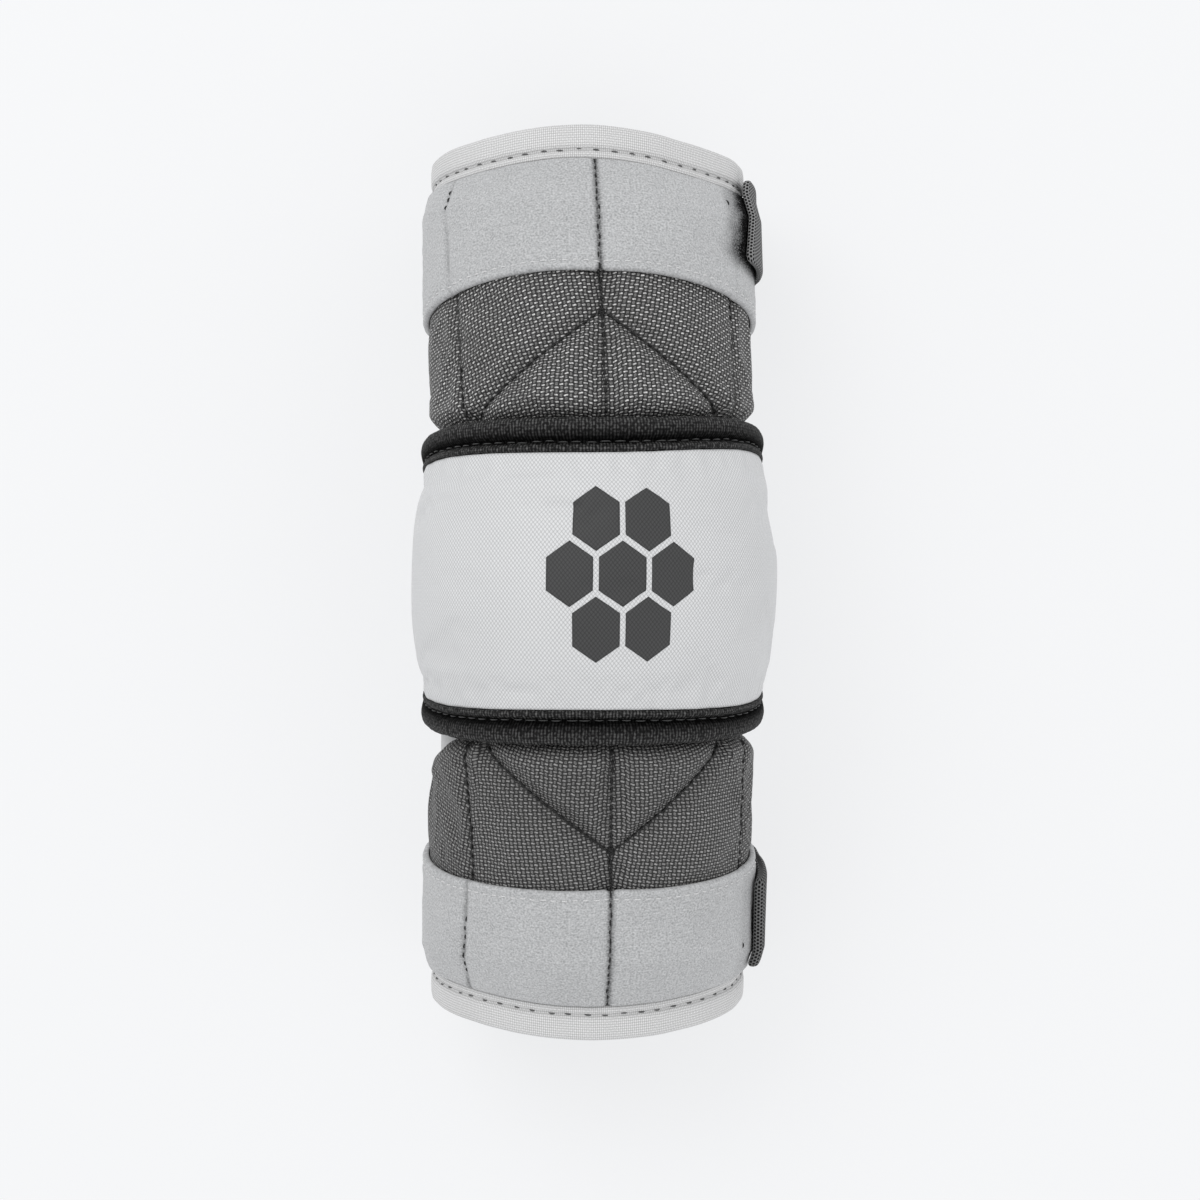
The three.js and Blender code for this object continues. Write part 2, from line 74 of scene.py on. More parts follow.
def unit(share: Array) -> Array:
    """The share held between 0 and 1."""
    return np.clip(share, 0.0, 1.0)


def quarter(share: Array) -> Array:
    """A quarter circle that rises from 0 to 1 and ends level."""
    rest = 1.0 - unit(share)
    return np.sqrt(1.0 - rest * rest)


def ease(share: Array) -> Array:
    """A step from 0 to 1 that starts and ends level."""
    held = unit(share)
    return held * held * (3.0 - 2.0 * held)


def bell(distance: Array, width: float) -> Array:
    """1 at no distance, falling to 0 past the width."""
    return np.exp(-((distance / width) ** 2))


def ripple(u: Array, v: Array, length: float, seed: int) -> Array:
    """A smooth uneven field, mostly between -1 and 1.

    It adds six plane waves of about one length, with directions and phases drawn from a fixed seed.

    Args:
        u, v: places on the cloth.
        length: the usual distance between swells, in the units of u and v.
        seed: which field.

    Returns:
        The field at each place.
    """
    draw = np.random.default_rng(seed)
    total = np.zeros(np.broadcast(u, v).shape)
    for turn, phase, stretch in draw.uniform(0.0, 1.0, (6, 3)):
        wave = 2.0 * math.pi / (length * (0.65 + stretch))
        heading = math.pi * turn
        total = total + np.sin(wave * (math.cos(heading) * u + math.sin(heading) * v) + 6.3 * phase)
    return total / 3.0


# Meshes


@dataclass
class Skin:
    """Points, four-cornered faces, a place on the cloth for each face corner, and marks on the points."""

    points: Array
    faces: Array
    cloth: Array
    corners: Array
    marks: dict[str, Array] = field(default_factory=dict)

    def volume(self) -> float:
        """Six times the signed volume inside the faces."""
        a, b, c, d = (self.points[self.faces[:, k]] for k in range(4))
        return float(np.sum(a * (np.cross(b, c) + np.cross(c, d))))

    def piece(self, name: str, finish: "Finish") -> bpy.types.Object:
        """Puts the skin into a mesh object, with its faces turned outwards.

        Args:
            name: the object's name.
            finish: what it is made of.

        Returns:
            The object, at the origin.
        """
        faces, corners = self.faces, self.corners
        if self.volume() < 0.0:
            faces, corners = faces[:, ::-1], corners[:, ::-1]
        mesh = bpy.data.meshes.new(name)
        mesh.from_pydata((self.points * METRES).tolist(), [], faces.tolist())
        layer = mesh.uv_layers.new(name="cloth")
        layer.data.foreach_set("uv", (self.cloth * METRES)[corners.ravel()].ravel())
        for mark, values in self.marks.items():
            attribute = mesh.attributes.new(mark, "FLOAT", "POINT")
            attribute.data.foreach_set("value", np.ascontiguousarray(values, dtype=np.float32))
        mesh.polygons.foreach_set("use_smooth", np.ones(len(faces), dtype=bool))
        mesh.materials.append(finish.material())
        mesh.update()
        made = bpy.data.objects.new(name, mesh)
        bpy.context.scene.collection.objects.link(made)
        return made


def joined(skins: list[Skin]) -> Skin:
    """Several skins as one, with the marks of the first one's names.

    Args:
        skins: what to join; all have the marks that the first one has.

    Returns:
        One skin.
    """
    starts = np.cumsum([0] + [len(skin.points) for skin in skins])
    places = np.cumsum([0] + [len(skin.cloth) for skin in skins])
    return Skin(
        np.concatenate([skin.points for skin in skins]),
        np.concatenate([skin.faces + start for skin, start in zip(skins, starts)]),
        np.concatenate([skin.cloth for skin in skins]),
        np.concatenate([skin.corners + place for skin, place in zip(skins, places)]),
        {name: np.concatenate([skin.marks[name] for skin in skins]) for name in skins[0].marks},
    )


def quads(index: Array) -> Array:
    """The four-cornered faces between neighbours on a grid of point numbers."""
    corners = (index[:-1, :-1], index[:-1, 1:], index[1:, 1:], index[1:, :-1])
    return np.stack([corner.ravel() for corner in corners], axis=1)


def slab(outside: Array, inside: Array, cloth: Array, marks: dict[str, Array] | None = None) -> Skin:
    """A closed slab between two grids of points, with a wall round its border.

    Args:
        outside, inside: points, as (rows, columns, 3).
        cloth: the place on the cloth of each column of a row, as (rows, columns, 2).
        marks: values on the outside's points; the inside takes the same.

    Returns:
        The skin.
    """
    rows, columns = outside.shape[:2]
    count = rows * columns
    index = np.arange(count).reshape(rows, columns)
    border = np.concatenate([index[0, :-1], index[:-1, -1], index[-1, :0:-1], index[:0:-1, 0]])
    onward = np.roll(border, -1)
    wall = np.stack([border, border + count, onward + count, onward], axis=1)
    faces = np.concatenate([quads(index), quads(index)[:, ::-1] + count, wall])
    points = np.concatenate([outside.reshape(-1, 3), inside.reshape(-1, 3)])
    both = {name: np.tile(values.ravel(), 2) for name, values in (marks or {}).items()}
    return Skin(points, faces, np.tile(cloth.reshape(-1, 2), (2, 1)), faces, both)


def ring(points: Array, along: Array, around: Array, marks: dict[str, Array] | None = None) -> Skin:
    """A closed ring with a closed section.

    Args:
        points: (steps, corners, 3), where the last step is followed by the first.
        along: the place of each step on the cloth, with one more for the return to the first step.
        around: the place of each corner, with one more for the return to the first corner.
        marks: values on the points.

    Returns:
        The skin.
    """
    steps, corners = points.shape[:2]
    index = np.arange(steps * corners).reshape(steps, corners)
    wrapped = np.pad(index, ((0, 1), (0, 1)), mode="wrap")
    places = np.arange((steps + 1) * (corners + 1)).reshape(steps + 1, corners + 1)
    cloth = np.stack(np.meshgrid(along, around, indexing="ij"), axis=-1).reshape(-1, 2)
    flat = {name: values.ravel() for name, values in (marks or {}).items()}
    return Skin(points.reshape(-1, 3), quads(wrapped), cloth, quads(places), flat)


def directions(vectors: Array) -> Array:
    """The vectors at a length of one."""
    return vectors / np.maximum(np.linalg.norm(vectors, axis=-1, keepdims=True), 1e-9)


def followed(line: Array, place: Array, where: Array) -> Array:
    """Points of a line at some distances along it, where place is the distance of each of its own."""
    return np.stack([np.interp(where, place, line[:, k]) for k in range(3)], axis=-1)


def travelled(points: Array) -> Array:
    """Distance along a line of points from its first one."""
    steps = np.linalg.norm(np.diff(points, axis=0), axis=1)
    return np.concatenate([[0.0], np.cumsum(steps)])


@dataclass(frozen=True)
class Swelling:
    """How far the points of a coarse grid have moved, in millimetres."""

    moved: Array

    def at(self, row: Array, column: Array) -> Array:
        """The movement at shares of the grid's rows and columns.

        It is the usual cubic through the four nearest rows, and so in the columns.

        Args:
            row, column: shares from 0 to 1.

        Returns:
            (..., 3) movements.
        """
        total = 0.0
        spans = [np.clip(np.asarray(share), 0.0, 1.0) * (size - 1) for share, size in
                 zip((row, column), self.moved.shape)]
        starts = [np.minimum(span.astype(int), size - 2) for span, size in zip(spans, self.moved.shape)]
        weights = [cubic_weights(span - start) for span, start in zip(spans, starts)]
        for i in range(4):
            rows = np.clip(starts[0] + i - 1, 0, self.moved.shape[0] - 1)
            for j in range(4):
                columns = np.clip(starts[1] + j - 1, 0, self.moved.shape[1] - 1)
                total = total + (weights[0][i] * weights[1][j])[..., None] * self.moved[rows, columns]
        return total


def cubic_weights(t: Array) -> list[Array]:
    """Shares of the four nearest values in the usual cubic at t between the middle two."""
    return [(-t + 2 * t**2 - t**3) / 2, (2 - 5 * t**2 + 3 * t**3) / 2, (t + 4 * t**2 - 3 * t**3) / 2,
            (t**3 - t**2) / 2]


@dataclass(frozen=True)
class Stuffing:
    """A cloth simulation that fills a padded skin between its held seams."""

    pressure: float = 4.0
    frames: int = 20
    most: float = 1.5  # that a point may move, in millimetres
    stretch: float = -0.03  # spare cloth, as a negative shrinking

    def swell(self, outside: Array, inside: Array, free: Array) -> Swelling:
        """Blows up a closed slab whose inside, edges and seams are held.

        A movement of m is kept as most m / (m + most), so that no point moves further than most.

        Args:
            outside, inside: coarse grids of points, in millimetres.
            free: how free each point of the outside is, 0 where it is sewn.

        Returns:
            How far the outside's points move.
        """
        skin = slab(outside, inside, np.zeros((*outside.shape[:2], 2)))
        faces = skin.faces if skin.volume() > 0.0 else skin.faces[:, ::-1]
        mesh = bpy.data.meshes.new("stuffing")
        mesh.from_pydata((skin.points * METRES).tolist(), [], faces.tolist())
        made = bpy.data.objects.new("stuffing", mesh)
        scene = bpy.context.scene
        scene.collection.objects.link(made)
        held = made.vertex_groups.new(name="held")
        weights = np.concatenate([1.0 - free.ravel(), np.ones(free.size)])
        for step in range(11):
            chosen = np.flatnonzero(np.round(weights * 10) == step)
            held.add(chosen.tolist(), step / 10.0, "REPLACE")
        cloth = made.modifiers.new("stuffing", "CLOTH")
        cloth.settings.vertex_group_mass = "held"
        cloth.settings.use_pressure = True
        cloth.settings.uniform_pressure_force = self.pressure
        cloth.settings.effector_weights.gravity = 0.0
        cloth.settings.shrink_min = self.stretch
        cloth.point_cache.frame_end = self.frames
        for frame in range(1, self.frames + 1):
            scene.frame_set(frame)
        settled = made.evaluated_get(bpy.context.evaluated_depsgraph_get()).to_mesh()
        places = np.empty(len(settled.vertices) * 3, dtype=np.float32)
        settled.vertices.foreach_get("co", places)
        moved = (places.reshape(-1, 3) / METRES - skin.points)[: free.size]
        bpy.data.objects.remove(made)
        bpy.data.meshes.remove(mesh)
        scene.frame_set(1)
        far = np.linalg.norm(moved, axis=1, keepdims=True)
        log.info("stuffing moved points by %.2f mm, at most %.2f mm", float(far.mean()), float(far.max()))
        return Swelling((moved * self.most / (far + self.most)).reshape(outside.shape))


def smooth_loop(corners: Array, count: int) -> Array:
    """A closed curve through the corners of a section.

    Between two corners it is the usual cubic whose slopes join each corner's neighbours.

    Args:
        corners: (n, 2) in order round the section.
        count: how many points to give.

    Returns:
        (count, 2) points, evenly spread over the spans.
    """
    total = len(corners)
    where = np.arange(count) * total / count
    first = where.astype(int)
    t = (where - first)[:, None]
    a, b, c, d = (corners[(first + k) % total] for k in (-1, 0, 1, 2))
    cubic = 2 * b + (c - a) * t + (2 * a - 5 * b + 4 * c - d) * t**2 + (3 * (b - c) + d - a) * t**3
    return cubic / 2.0


@dataclass(frozen=True)
class Thread:
    """A row of stitches: bent, round-ended lengths of thread that dip into the cloth at both ends."""

    pitch: float
    length: float
    radius: float
    lift: float = 0.1  # of its middle above the line
    sink: float = 0.5  # of its ends below the line
    wander: float = 0.08
    seed: int = 1

    def along(self, line: Array, up: Array) -> Skin:
        """Stitches along a line.

        Each has five rings of six points. A ring's height is the lift at the middle and falls with the
        square of the distance from it; its radius shrinks at the ends.

        Args:
            line: (n, 3) points.
            up: (n, 3) unit directions away from the cloth.

        Returns:
            The skin.
        """
        draw = np.random.default_rng(self.seed)
        place = travelled(line)
        count = max(1, int(place[-1] / self.pitch))
        middle = (np.arange(count) + 0.5) * place[-1] / count
        middle = middle + draw.normal(0.0, self.wander * self.pitch * 0.4, count)
        long = self.length * draw.uniform(0.85, 1.1, count)
        rings, corners = 5, 6
        share = np.linspace(-1.0, 1.0, rings)
        where = middle[:, None] + 0.5 * long[:, None] * share[None, :]
        spread = draw.normal(0.0, self.wander, (count, 1))
        rise = followed(up, place, where)
        heading = directions(followed(line, place, where + 0.3) - followed(line, place, where - 0.3))
        across = directions(np.cross(heading, rise))
        height = self.lift - (self.lift + self.sink) * share**2
        thick = self.radius * np.array([0.45, 0.9, 1.0, 0.9, 0.45])
        turn = np.arange(corners) * math.pi / 3.0
        centre = followed(line, place, where) + rise * height[None, :, None] + across * spread[..., None]
        round_up = np.sin(turn)[None, None, :, None] * rise[:, :, None, :]
        round_across = np.cos(turn)[None, None, :, None] * across[:, :, None, :]
        points = centre[:, :, None, :] + thick[None, :, None, None] * (round_up + round_across)
        one = np.arange(rings * corners).reshape(rings, corners)
        sides = quads(np.pad(one, ((0, 0), (0, 1)), mode="wrap"))
        cap = np.array([[0, 1, 2, 3], [0, 3, 4, 5]])
        pattern = np.concatenate([sides, cap, cap[:, ::-1] + one[-1, 0]])
        faces = (pattern[None] + one.size * np.arange(count)[:, None, None]).reshape(-1, 4)
        cloth = np.stack([np.repeat(where.ravel(), corners), np.tile(turn, count * rings)], axis=1)
        return Skin(points.reshape(-1, 3), faces, cloth, faces)


# Materials


class Graph:
    """A node tree that is being built."""

    def __init__(self, tree: bpy.types.NodeTree) -> None:
        """Starts with an empty tree."""
        self.tree = tree
        tree.nodes.clear()

    def node(self, kind: str, inputs: dict | None = None, **settings: object) -> bpy.types.Node:
        """Adds a node.

        Args:
            kind: Blender's name of the node.
            inputs: what goes into its sockets, each a value or another node's output.
            settings: its own settings.

        Returns:
            The node.
        """
        made = self.tree.nodes.new(kind)
        for name, value in settings.items():
            setattr(made, name, value)
        for name, value in (inputs or {}).items():
            self.feed(made.inputs[name], value)
        return made

    def feed(self, socket: Socket, value: object) -> None:
        """Links an output to the socket, or sets its value.

        Args:
            socket: an input.
            value: another node's output, or a plain value.
        """
        if isinstance(value, bpy.types.NodeSocket):
            self.tree.links.new(value, socket)
        else:
            socket.default_value = value

    def maths(self, operation: str, *values: object) -> Socket:
        """A Math node's output."""
        return self.node("ShaderNodeMath", dict(enumerate(values)), operation=operation).outputs[0]

    def times(self, *values: object) -> Socket:
        """Two values multiplied."""
        return self.maths("MULTIPLY", *values)

    def plus(self, *values: object) -> Socket:
        """Two values added."""
        return self.maths("ADD", *values)

    def ridges(self, value: object) -> Socket:
        """Round ridges side by side: the size of the value's sine."""
        return self.maths("ABSOLUTE", self.maths("SINE", value))

    def parts(self, vector: object) -> Sockets:
        """The vector's three parts."""
        return self.node("ShaderNodeSeparateXYZ", {0: vector}).outputs

    def span(self, value: object, low: float, high: float, start: float = 0.0, end: float = 1.0) -> object:
        """The value taken from low and high to start and end, held between them."""
        return self.node("ShaderNodeMapRange", {0: value, 1: low, 2: high, 3: start, 4: end}).outputs[0]

    def noise(self, vector: object, scale: float, detail: float = 2.0) -> Socket:
        """A noise between 0 and 1."""
        inputs = {"Vector": vector, "Scale": scale, "Detail": detail}
        return self.node("ShaderNodeTexNoise", inputs).outputs[0]

    def blend(self, share: object, low: object, high: object) -> Socket:
        """A colour between two colours."""
        return self.node("ShaderNodeMix", {0: share, 6: low, 7: high}, data_type="RGBA").outputs[2]

    def effect(self, effect: "Effect", vector: object, **inputs: object) -> Sockets:
        """The outputs of an effect's node group at that place, with what goes into it."""
        return self.node("ShaderNodeGroup", {"Vector": vector, **inputs}, node_tree=effect.tree()).outputs


class Effect(Enum):
    """Effects that several materials share, each a node group with its inputs and outputs."""

    WEAVE = ("cloth weave",
             {"Across": 0.001, "Along": 0.001, "Turn": 0.0, "Uneven": 0.1, "Slender": 0.9, "Lean": 0.0},
             ("Height", "Float", "Gap"))
    NAP = ("cloth nap", {"Scale": 1500.0}, ("Height", "Mottle"))
    RIBS = ("cloth ribs", {"Pitch": 0.001, "Fine": 0.001}, ("Height", "Groove"))
    WEAR = ("handling wear", {"Scale": 30.0}, ("Soil",))

    def tree(self) -> bpy.types.NodeTree:
        """The effect's node group, built once.

        Returns:
            The node group.
        """
        name, inputs, outputs = self.value
        if name in bpy.data.node_groups:
            return bpy.data.node_groups[name]
        tree = bpy.data.node_groups.new(name, "ShaderNodeTree")
        tree.interface.new_socket("Vector", in_out="INPUT", socket_type="NodeSocketVector")
        for word, value in inputs.items():
            socket = tree.interface.new_socket(word, in_out="INPUT", socket_type="NodeSocketFloat")
            socket.default_value = value
        for word in outputs:
            tree.interface.new_socket(word, in_out="OUTPUT", socket_type="NodeSocketFloat")
        graph = Graph(tree)
        given = graph.node("NodeGroupInput").outputs
        build = {Effect.WEAVE: weave, Effect.NAP: nap, Effect.RIBS: ribs, Effect.WEAR: wear}[self]
        made = build(graph, given)
        out = graph.node("NodeGroupOutput")
        for word in outputs:
            graph.feed(out.inputs[word], made[word])
        return tree


def weave(graph: Graph, given: Sockets) -> dict[str, object]:
    """Two sets of round yarns that cross over and under each other by turns.

    With a wave across each set of yarns, the sign of the two waves' product says which set is on top.
    A yarn on top is a mound that is long along itself and short across.

    Args:
        graph: the group's tree.
        given: its inputs.

    Returns:
        Height, the mask of the yarns that run across and are on top, and the gaps between yarns.
    """
    uneven = graph.noise(given["Vector"], 420.0, 3.0)
    shift = graph.times(graph.maths("SUBTRACT", uneven, 0.5), given["Uneven"])
    turned = graph.node("ShaderNodeVectorRotate", {"Vector": given["Vector"], "Angle": given["Turn"]},
                        rotation_type="Z_AXIS").outputs[0]
    parts = graph.parts(turned)
    waves, phases = [], []
    for part, pitch in ((parts[0], given["Across"]), (parts[1], given["Along"])):
        yarns = graph.plus(graph.maths("DIVIDE", part, pitch), shift)
        if waves:
            lean = graph.maths("SINE", graph.times(phases[0], 2.0 * math.pi))
            yarns = graph.plus(yarns, graph.times(lean, given["Lean"]))
        phases.append(yarns)
        waves.append(graph.maths("SINE", graph.times(yarns, math.pi)))
    sizes = [graph.maths("ABSOLUTE", wave) for wave in waves]
    top = graph.span(graph.times(*waves), -0.08, 0.08)
    wide = [graph.maths("POWER", size, 0.4) for size in sizes]
    thin = [graph.maths("POWER", size, given["Slender"]) for size in sizes]
    lying, standing = graph.times(wide[0], thin[1]), graph.times(thin[0], wide[1])
    height = graph.maths("MULTIPLY_ADD", graph.maths("SUBTRACT", lying, standing), top, standing)
    floats = graph.times(top, graph.span(lying, 0.5, 0.8))
    return {"Height": height, "Float": floats, "Gap": graph.span(height, 0.6, 0.3)}


def nap(graph: Graph, given: Sockets) -> dict[str, object]:
    """Brushed fibre: fine tangled noise over softer tufts.

    Args:
        graph: the group's tree.
        given: its inputs.

    Returns:
        Height, and the mottle of lighter and darker tufts.
    """
    fine = graph.noise(given["Vector"], given["Scale"], 3.0)
    tufts = graph.noise(given["Vector"], graph.times(given["Scale"], 0.34))
    broad = graph.noise(given["Vector"], graph.times(given["Scale"], 0.05))
    height = graph.plus(graph.times(fine, 0.7), graph.times(tufts, 0.3))
    mottle = graph.plus(graph.times(fine, 0.78), graph.times(tufts, 0.16))
    mottle = graph.plus(mottle, graph.times(broad, 0.06))
    return {"Height": height, "Mottle": mottle}


def ribs(graph: Graph, given: Sockets) -> dict[str, object]:
    """Ribs that stand side by side along the cloth, crossed by fine yarns.

    Args:
        graph: the group's tree.
        given: its inputs.

    Returns:
        Height, and the grooves between the ribs.
    """
    parts = graph.parts(given["Vector"])
    uneven = graph.noise(given["Vector"], 260.0)
    along = graph.plus(graph.maths("DIVIDE", parts[0], given["Pitch"]), graph.times(uneven, 0.7))
    rib = graph.ridges(graph.times(along, math.pi))
    yarn = graph.ridges(graph.times(graph.maths("DIVIDE", parts[1], given["Fine"]), math.pi))
    height = graph.plus(graph.times(rib, 0.7), graph.times(yarn, 0.3))
    return {"Height": height, "Groove": graph.span(rib, 0.55, 0.1)}


def wear(graph: Graph, given: Sockets) -> dict[str, object]:
    """Uneven dirt from handling, as soft patches of soil."""
    return {"Soil": graph.span(graph.noise(given["Vector"], given["Scale"], 4.0), 0.42, 0.72)}


def grey(value: float, warm: float = 0.0) -> tuple[float, float, float, float]:
    """A linear grey, a little warm or cool."""
    return (value * (1 + warm), value, value * (1 - warm), 1.0)


@dataclass(frozen=True)
class Finish:
    """What a piece is made of. Each kind has its own nodes."""

    name: str

    def material(self) -> bpy.types.Material:
        """The finish's material, made once.

        Returns:
            The material.
        """
        if self.name in bpy.data.materials:
            return bpy.data.materials[self.name]
        made = bpy.data.materials.new(self.name)
        made.use_nodes = True
        graph = Graph(made.node_tree)
        shader = graph.node("ShaderNodeBsdfPrincipled")
        self.dress(graph, shader)
        graph.node("ShaderNodeOutputMaterial", {"Surface": shader.outputs[0]})
        return made

    def dress(self, graph: Graph, shader: bpy.types.Node) -> None:
        """Gives the shader its colour, roughness and relief."""
        raise NotImplementedError

    def cloth(self, graph: Graph) -> Socket:
        """The place on the cloth."""
        return graph.node("ShaderNodeUVMap", uv_map="cloth").outputs[0]

    def seam(self, graph: Graph) -> Socket:
        """The seam mark on the points, 1 at a seam."""
        return graph.node("ShaderNodeAttribute", attribute_name="seam").outputs["Fac"]

    def twill(self, graph: Graph) -> Sockets:
        """The fine diagonal weave of the cap, which shows through its print too."""
        return graph.effect(Effect.WEAVE, self.cloth(graph), Across=TWILL_PITCH, Along=TWILL_PITCH,
                            Turn=math.pi / 4.0, Uneven=0.25)

    def soiled(self, graph: Graph, colour: object, scale: float, depth: float) -> Socket:
        """The colour, darker in soft patches.

        Args:
            graph: the material's tree.
            colour: the clean colour.
            scale: how small the patches are.
            depth: how dark they are.

        Returns:
            The soiled colour.
        """
        at = graph.node("ShaderNodeTexCoord").outputs["Object"]
        soil = graph.effect(Effect.WEAR, at, Scale=scale)["Soil"]
        return graph.blend(graph.times(soil, depth), colour, grey(0.02, 0.1))

    def surface(self, graph: Graph, shader: bpy.types.Node, colour: object, rough: object, height: object,
                depth: float, **others: object) -> None:
        """Feeds colour, roughness, a bump of that depth in metres and other sockets.

        Args:
            graph: the material's tree.
            shader: its Principled BSDF.
            colour, rough: what goes into those two sockets.
            height: the relief, from 0 to 1.
            depth: how deep the relief is, in metres.
            others: what goes into other sockets, named with _ for each space.
        """
        bump = graph.node("ShaderNodeBump", {"Height": height, "Distance": depth}).outputs[0]
        for name, value in {"Base Color": colour, "Roughness": rough, "Normal": bump, **others}.items():
            graph.feed(shader.inputs[name.replace("_", " ")], value)


@dataclass(frozen=True)
class BasketWeave(Finish):
    """Coarse shiny synthetic weave, dark in its gaps and pressed seams, with highlights painted on its
    floats.
    """

    across: float = 0.00133
    along: float = 0.00119
    yarn: float = 0.18
    painted_highlight: float = 0.8
    gap: float = 0.014

    def dress(self, graph: Graph, shader: bpy.types.Node) -> None:
        """Painted highlights on the floats over dark yarns, with gaps at the crossings.

        Args:
            graph: the material's tree.
            shader: its Principled BSDF.
        """
        cloth = self.cloth(graph)
        woven = graph.effect(Effect.WEAVE, cloth, Across=self.across, Along=self.along, Uneven=0.5,
                             Slender=1.7, Lean=0.06)
        glint = graph.span(graph.noise(cloth, 1500.0, 3.0), 0.36, 0.62, 0.12, 1.0)
        fibre = graph.span(graph.noise(cloth, 2100.0, 3.0), 0.36, 0.64)
        dull = graph.blend(fibre, grey(self.yarn * 0.5, 0.015), grey(self.yarn * 1.3, 0.015))
        # Painted highlight: the floats are lit up in specks where glint is high.
        colour = graph.blend(graph.times(woven["Float"], glint), dull, grey(self.painted_highlight, 0.01))
        colour = graph.blend(woven["Gap"], colour, grey(self.gap))
        colour = self.soiled(graph, colour, 38.0, 0.18)
        colour = graph.blend(graph.times(self.seam(graph), 0.5), colour, grey(0.012))
        rough = graph.span(woven["Float"], 0.0, 1.0, 0.62, 0.4)
        self.surface(graph, shader, colour, rough, woven["Height"], 0.00022, Specular_IOR_Level=0.45)


@dataclass(frozen=True)
class CoatedTwill(Finish):
    """Fine white cloth with a thin smooth coat."""

    def dress(self, graph: Graph, shader: bpy.types.Node) -> None:
        """A low, crossed diagonal relief and faint soil.

        Args:
            graph: the material's tree.
            shader: its Principled BSDF.
        """
        woven = self.twill(graph)
        colour = graph.blend(graph.times(woven["Gap"], 0.8), grey(0.74, -0.008), grey(0.46, -0.005))
        colour = graph.blend(graph.times(woven["Float"], 0.3), colour, grey(0.82, -0.006))
        colour = self.soiled(graph, colour, 26.0, 0.03)
        rough = graph.span(woven["Height"], 0.0, 1.0, 0.62, 0.48)
        self.surface(graph, shader, colour, rough, woven["Height"], 0.00007)


@dataclass(frozen=True)
class BrushedLoop(Finish):
    """Light-grey loop pile, pressed and darker at its seams, with a painted shadow beside the pull tab."""

    light: float = 0.49

    def dress(self, graph: Graph, shader: bpy.types.Node) -> None:
        """Mottled tufts over fine fibre.

        Args:
            graph: the material's tree.
            shader: its Principled BSDF.
        """
        pile = graph.effect(Effect.NAP, self.cloth(graph), Scale=1650.0)
        low, high = self.light * 0.7, self.light * 1.36
        colour = graph.blend(graph.span(pile["Mottle"], 0.34, 0.66), grey(low, -0.012), grey(high, -0.008))
        colour = self.soiled(graph, colour, 24.0, 0.05)
        # The seam mark darkens the pile at its seams and paints the pull tab's shadow; sheen and shine fade
        # there too.
        dark = self.seam(graph)
        patchy = graph.times(dark, graph.span(pile["Mottle"], 0.36, 0.64, 1.35, 0.85))
        colour = graph.blend(graph.maths("MINIMUM", patchy, 1.0), colour, grey(0.008))
        sheen, shine = (graph.span(dark, 0.0, 0.6, most, 0.0) for most in (0.25, 0.2))
        self.surface(graph, shader, colour, 0.95, pile["Height"], 0.0006, Sheen_Weight=sheen,
                     Specular_IOR_Level=shine, Sheen_Roughness=0.6)


@dataclass(frozen=True)
class RibbedElastic(Finish):
    """Black elastic with ribs across it, with painted highlights on its ribs and painted shade in its
    stitched groove.
    """

    pitch: float = 0.0009

    def dress(self, graph: Graph, shader: bpy.types.Node) -> None:
        """Ribs and fine yarns; the rib tops are painted grey, partly as fibre and partly as a painted
        highlight.

        Args:
            graph: the material's tree.
            shader: its Principled BSDF.
        """
        cloth, seam = self.cloth(graph), self.seam(graph)
        ribbed = graph.effect(Effect.RIBS, cloth, Pitch=self.pitch, Fine=0.0008)
        fibre = graph.span(graph.noise(cloth, 1150.0, 3.0), 0.42, 0.6, 0.08, 1.0)
        fibre_and_highlight = graph.times(graph.span(ribbed["Height"], 0.35, 0.95), fibre)
        colour = graph.blend(fibre_and_highlight, grey(0.003), grey(0.12, 0.01))
        # Painted shade: the elastic goes black towards its stitched groove.
        colour = graph.blend(graph.times(seam, 0.92), colour, grey(0.002))
        self.surface(graph, shader, colour, 0.7, ribbed["Height"], 0.00022,
                     Specular_IOR_Level=graph.span(seam, 0.0, 1.0, 0.18, 0.0))


@dataclass(frozen=True)
class WovenTape(Finish):
    """Off-white plain-woven binding tape."""

    light: float = 0.77

    def dress(self, graph: Graph, shader: bpy.types.Node) -> None:
        """A fine weave with ribs along the tape.

        Args:
            graph: the material's tree.
            shader: its Principled BSDF.
        """
        woven = graph.effect(Effect.WEAVE, self.cloth(graph), Across=0.00062, Along=0.0009, Uneven=0.4)
        colour = graph.blend(woven["Gap"], grey(self.light, 0.002), grey(self.light * 0.66, 0.006))
        colour = graph.blend(graph.times(woven["Float"], 0.5), colour, grey(0.9))
        colour = self.soiled(graph, colour, 30.0, 0.04)
        colour = graph.blend(graph.times(self.seam(graph), 0.2), colour, grey(0.12))
        self.surface(graph, shader, colour, 0.85, woven["Height"], 0.00014, Sheen_Weight=0.1)


@dataclass(frozen=True)
class SpacerMesh(Finish):
    """Dark spacer fabric with small holes in staggered rows."""

    pitch: float = 0.00128
    light: float = 0.27

    def dress(self, graph: Graph, shader: bpy.types.Node) -> None:
        """Three waves, 60 degrees apart, which meet at the holes.

        Args:
            graph: the material's tree.
            shader: its Principled BSDF.
        """
        parts = graph.parts(self.cloth(graph))
        total = 0.0
        for turn in (0.0, 60.0, 120.0):
            wave = 2.0 * math.pi / (self.pitch * math.cos(math.pi / 6.0))
            x = graph.times(parts[0], wave * math.cos(math.radians(turn)))
            y = graph.times(parts[1], wave * math.sin(math.radians(turn)))
            total = graph.plus(graph.maths("COSINE", graph.plus(x, y)), total)
        uneven = graph.noise(self.cloth(graph), 900.0)
        hole = graph.span(graph.plus(total, uneven), 0.6, 1.3)
        colour = graph.blend(graph.span(total, 0.6, -1.2), grey(0.05), grey(self.light))
        colour = graph.blend(hole, colour, grey(0.004))
        height = graph.span(total, 1.4, -0.6)
        self.surface(graph, shader, colour, 0.75, height, 0.0003, Specular_IOR_Level=0.12)


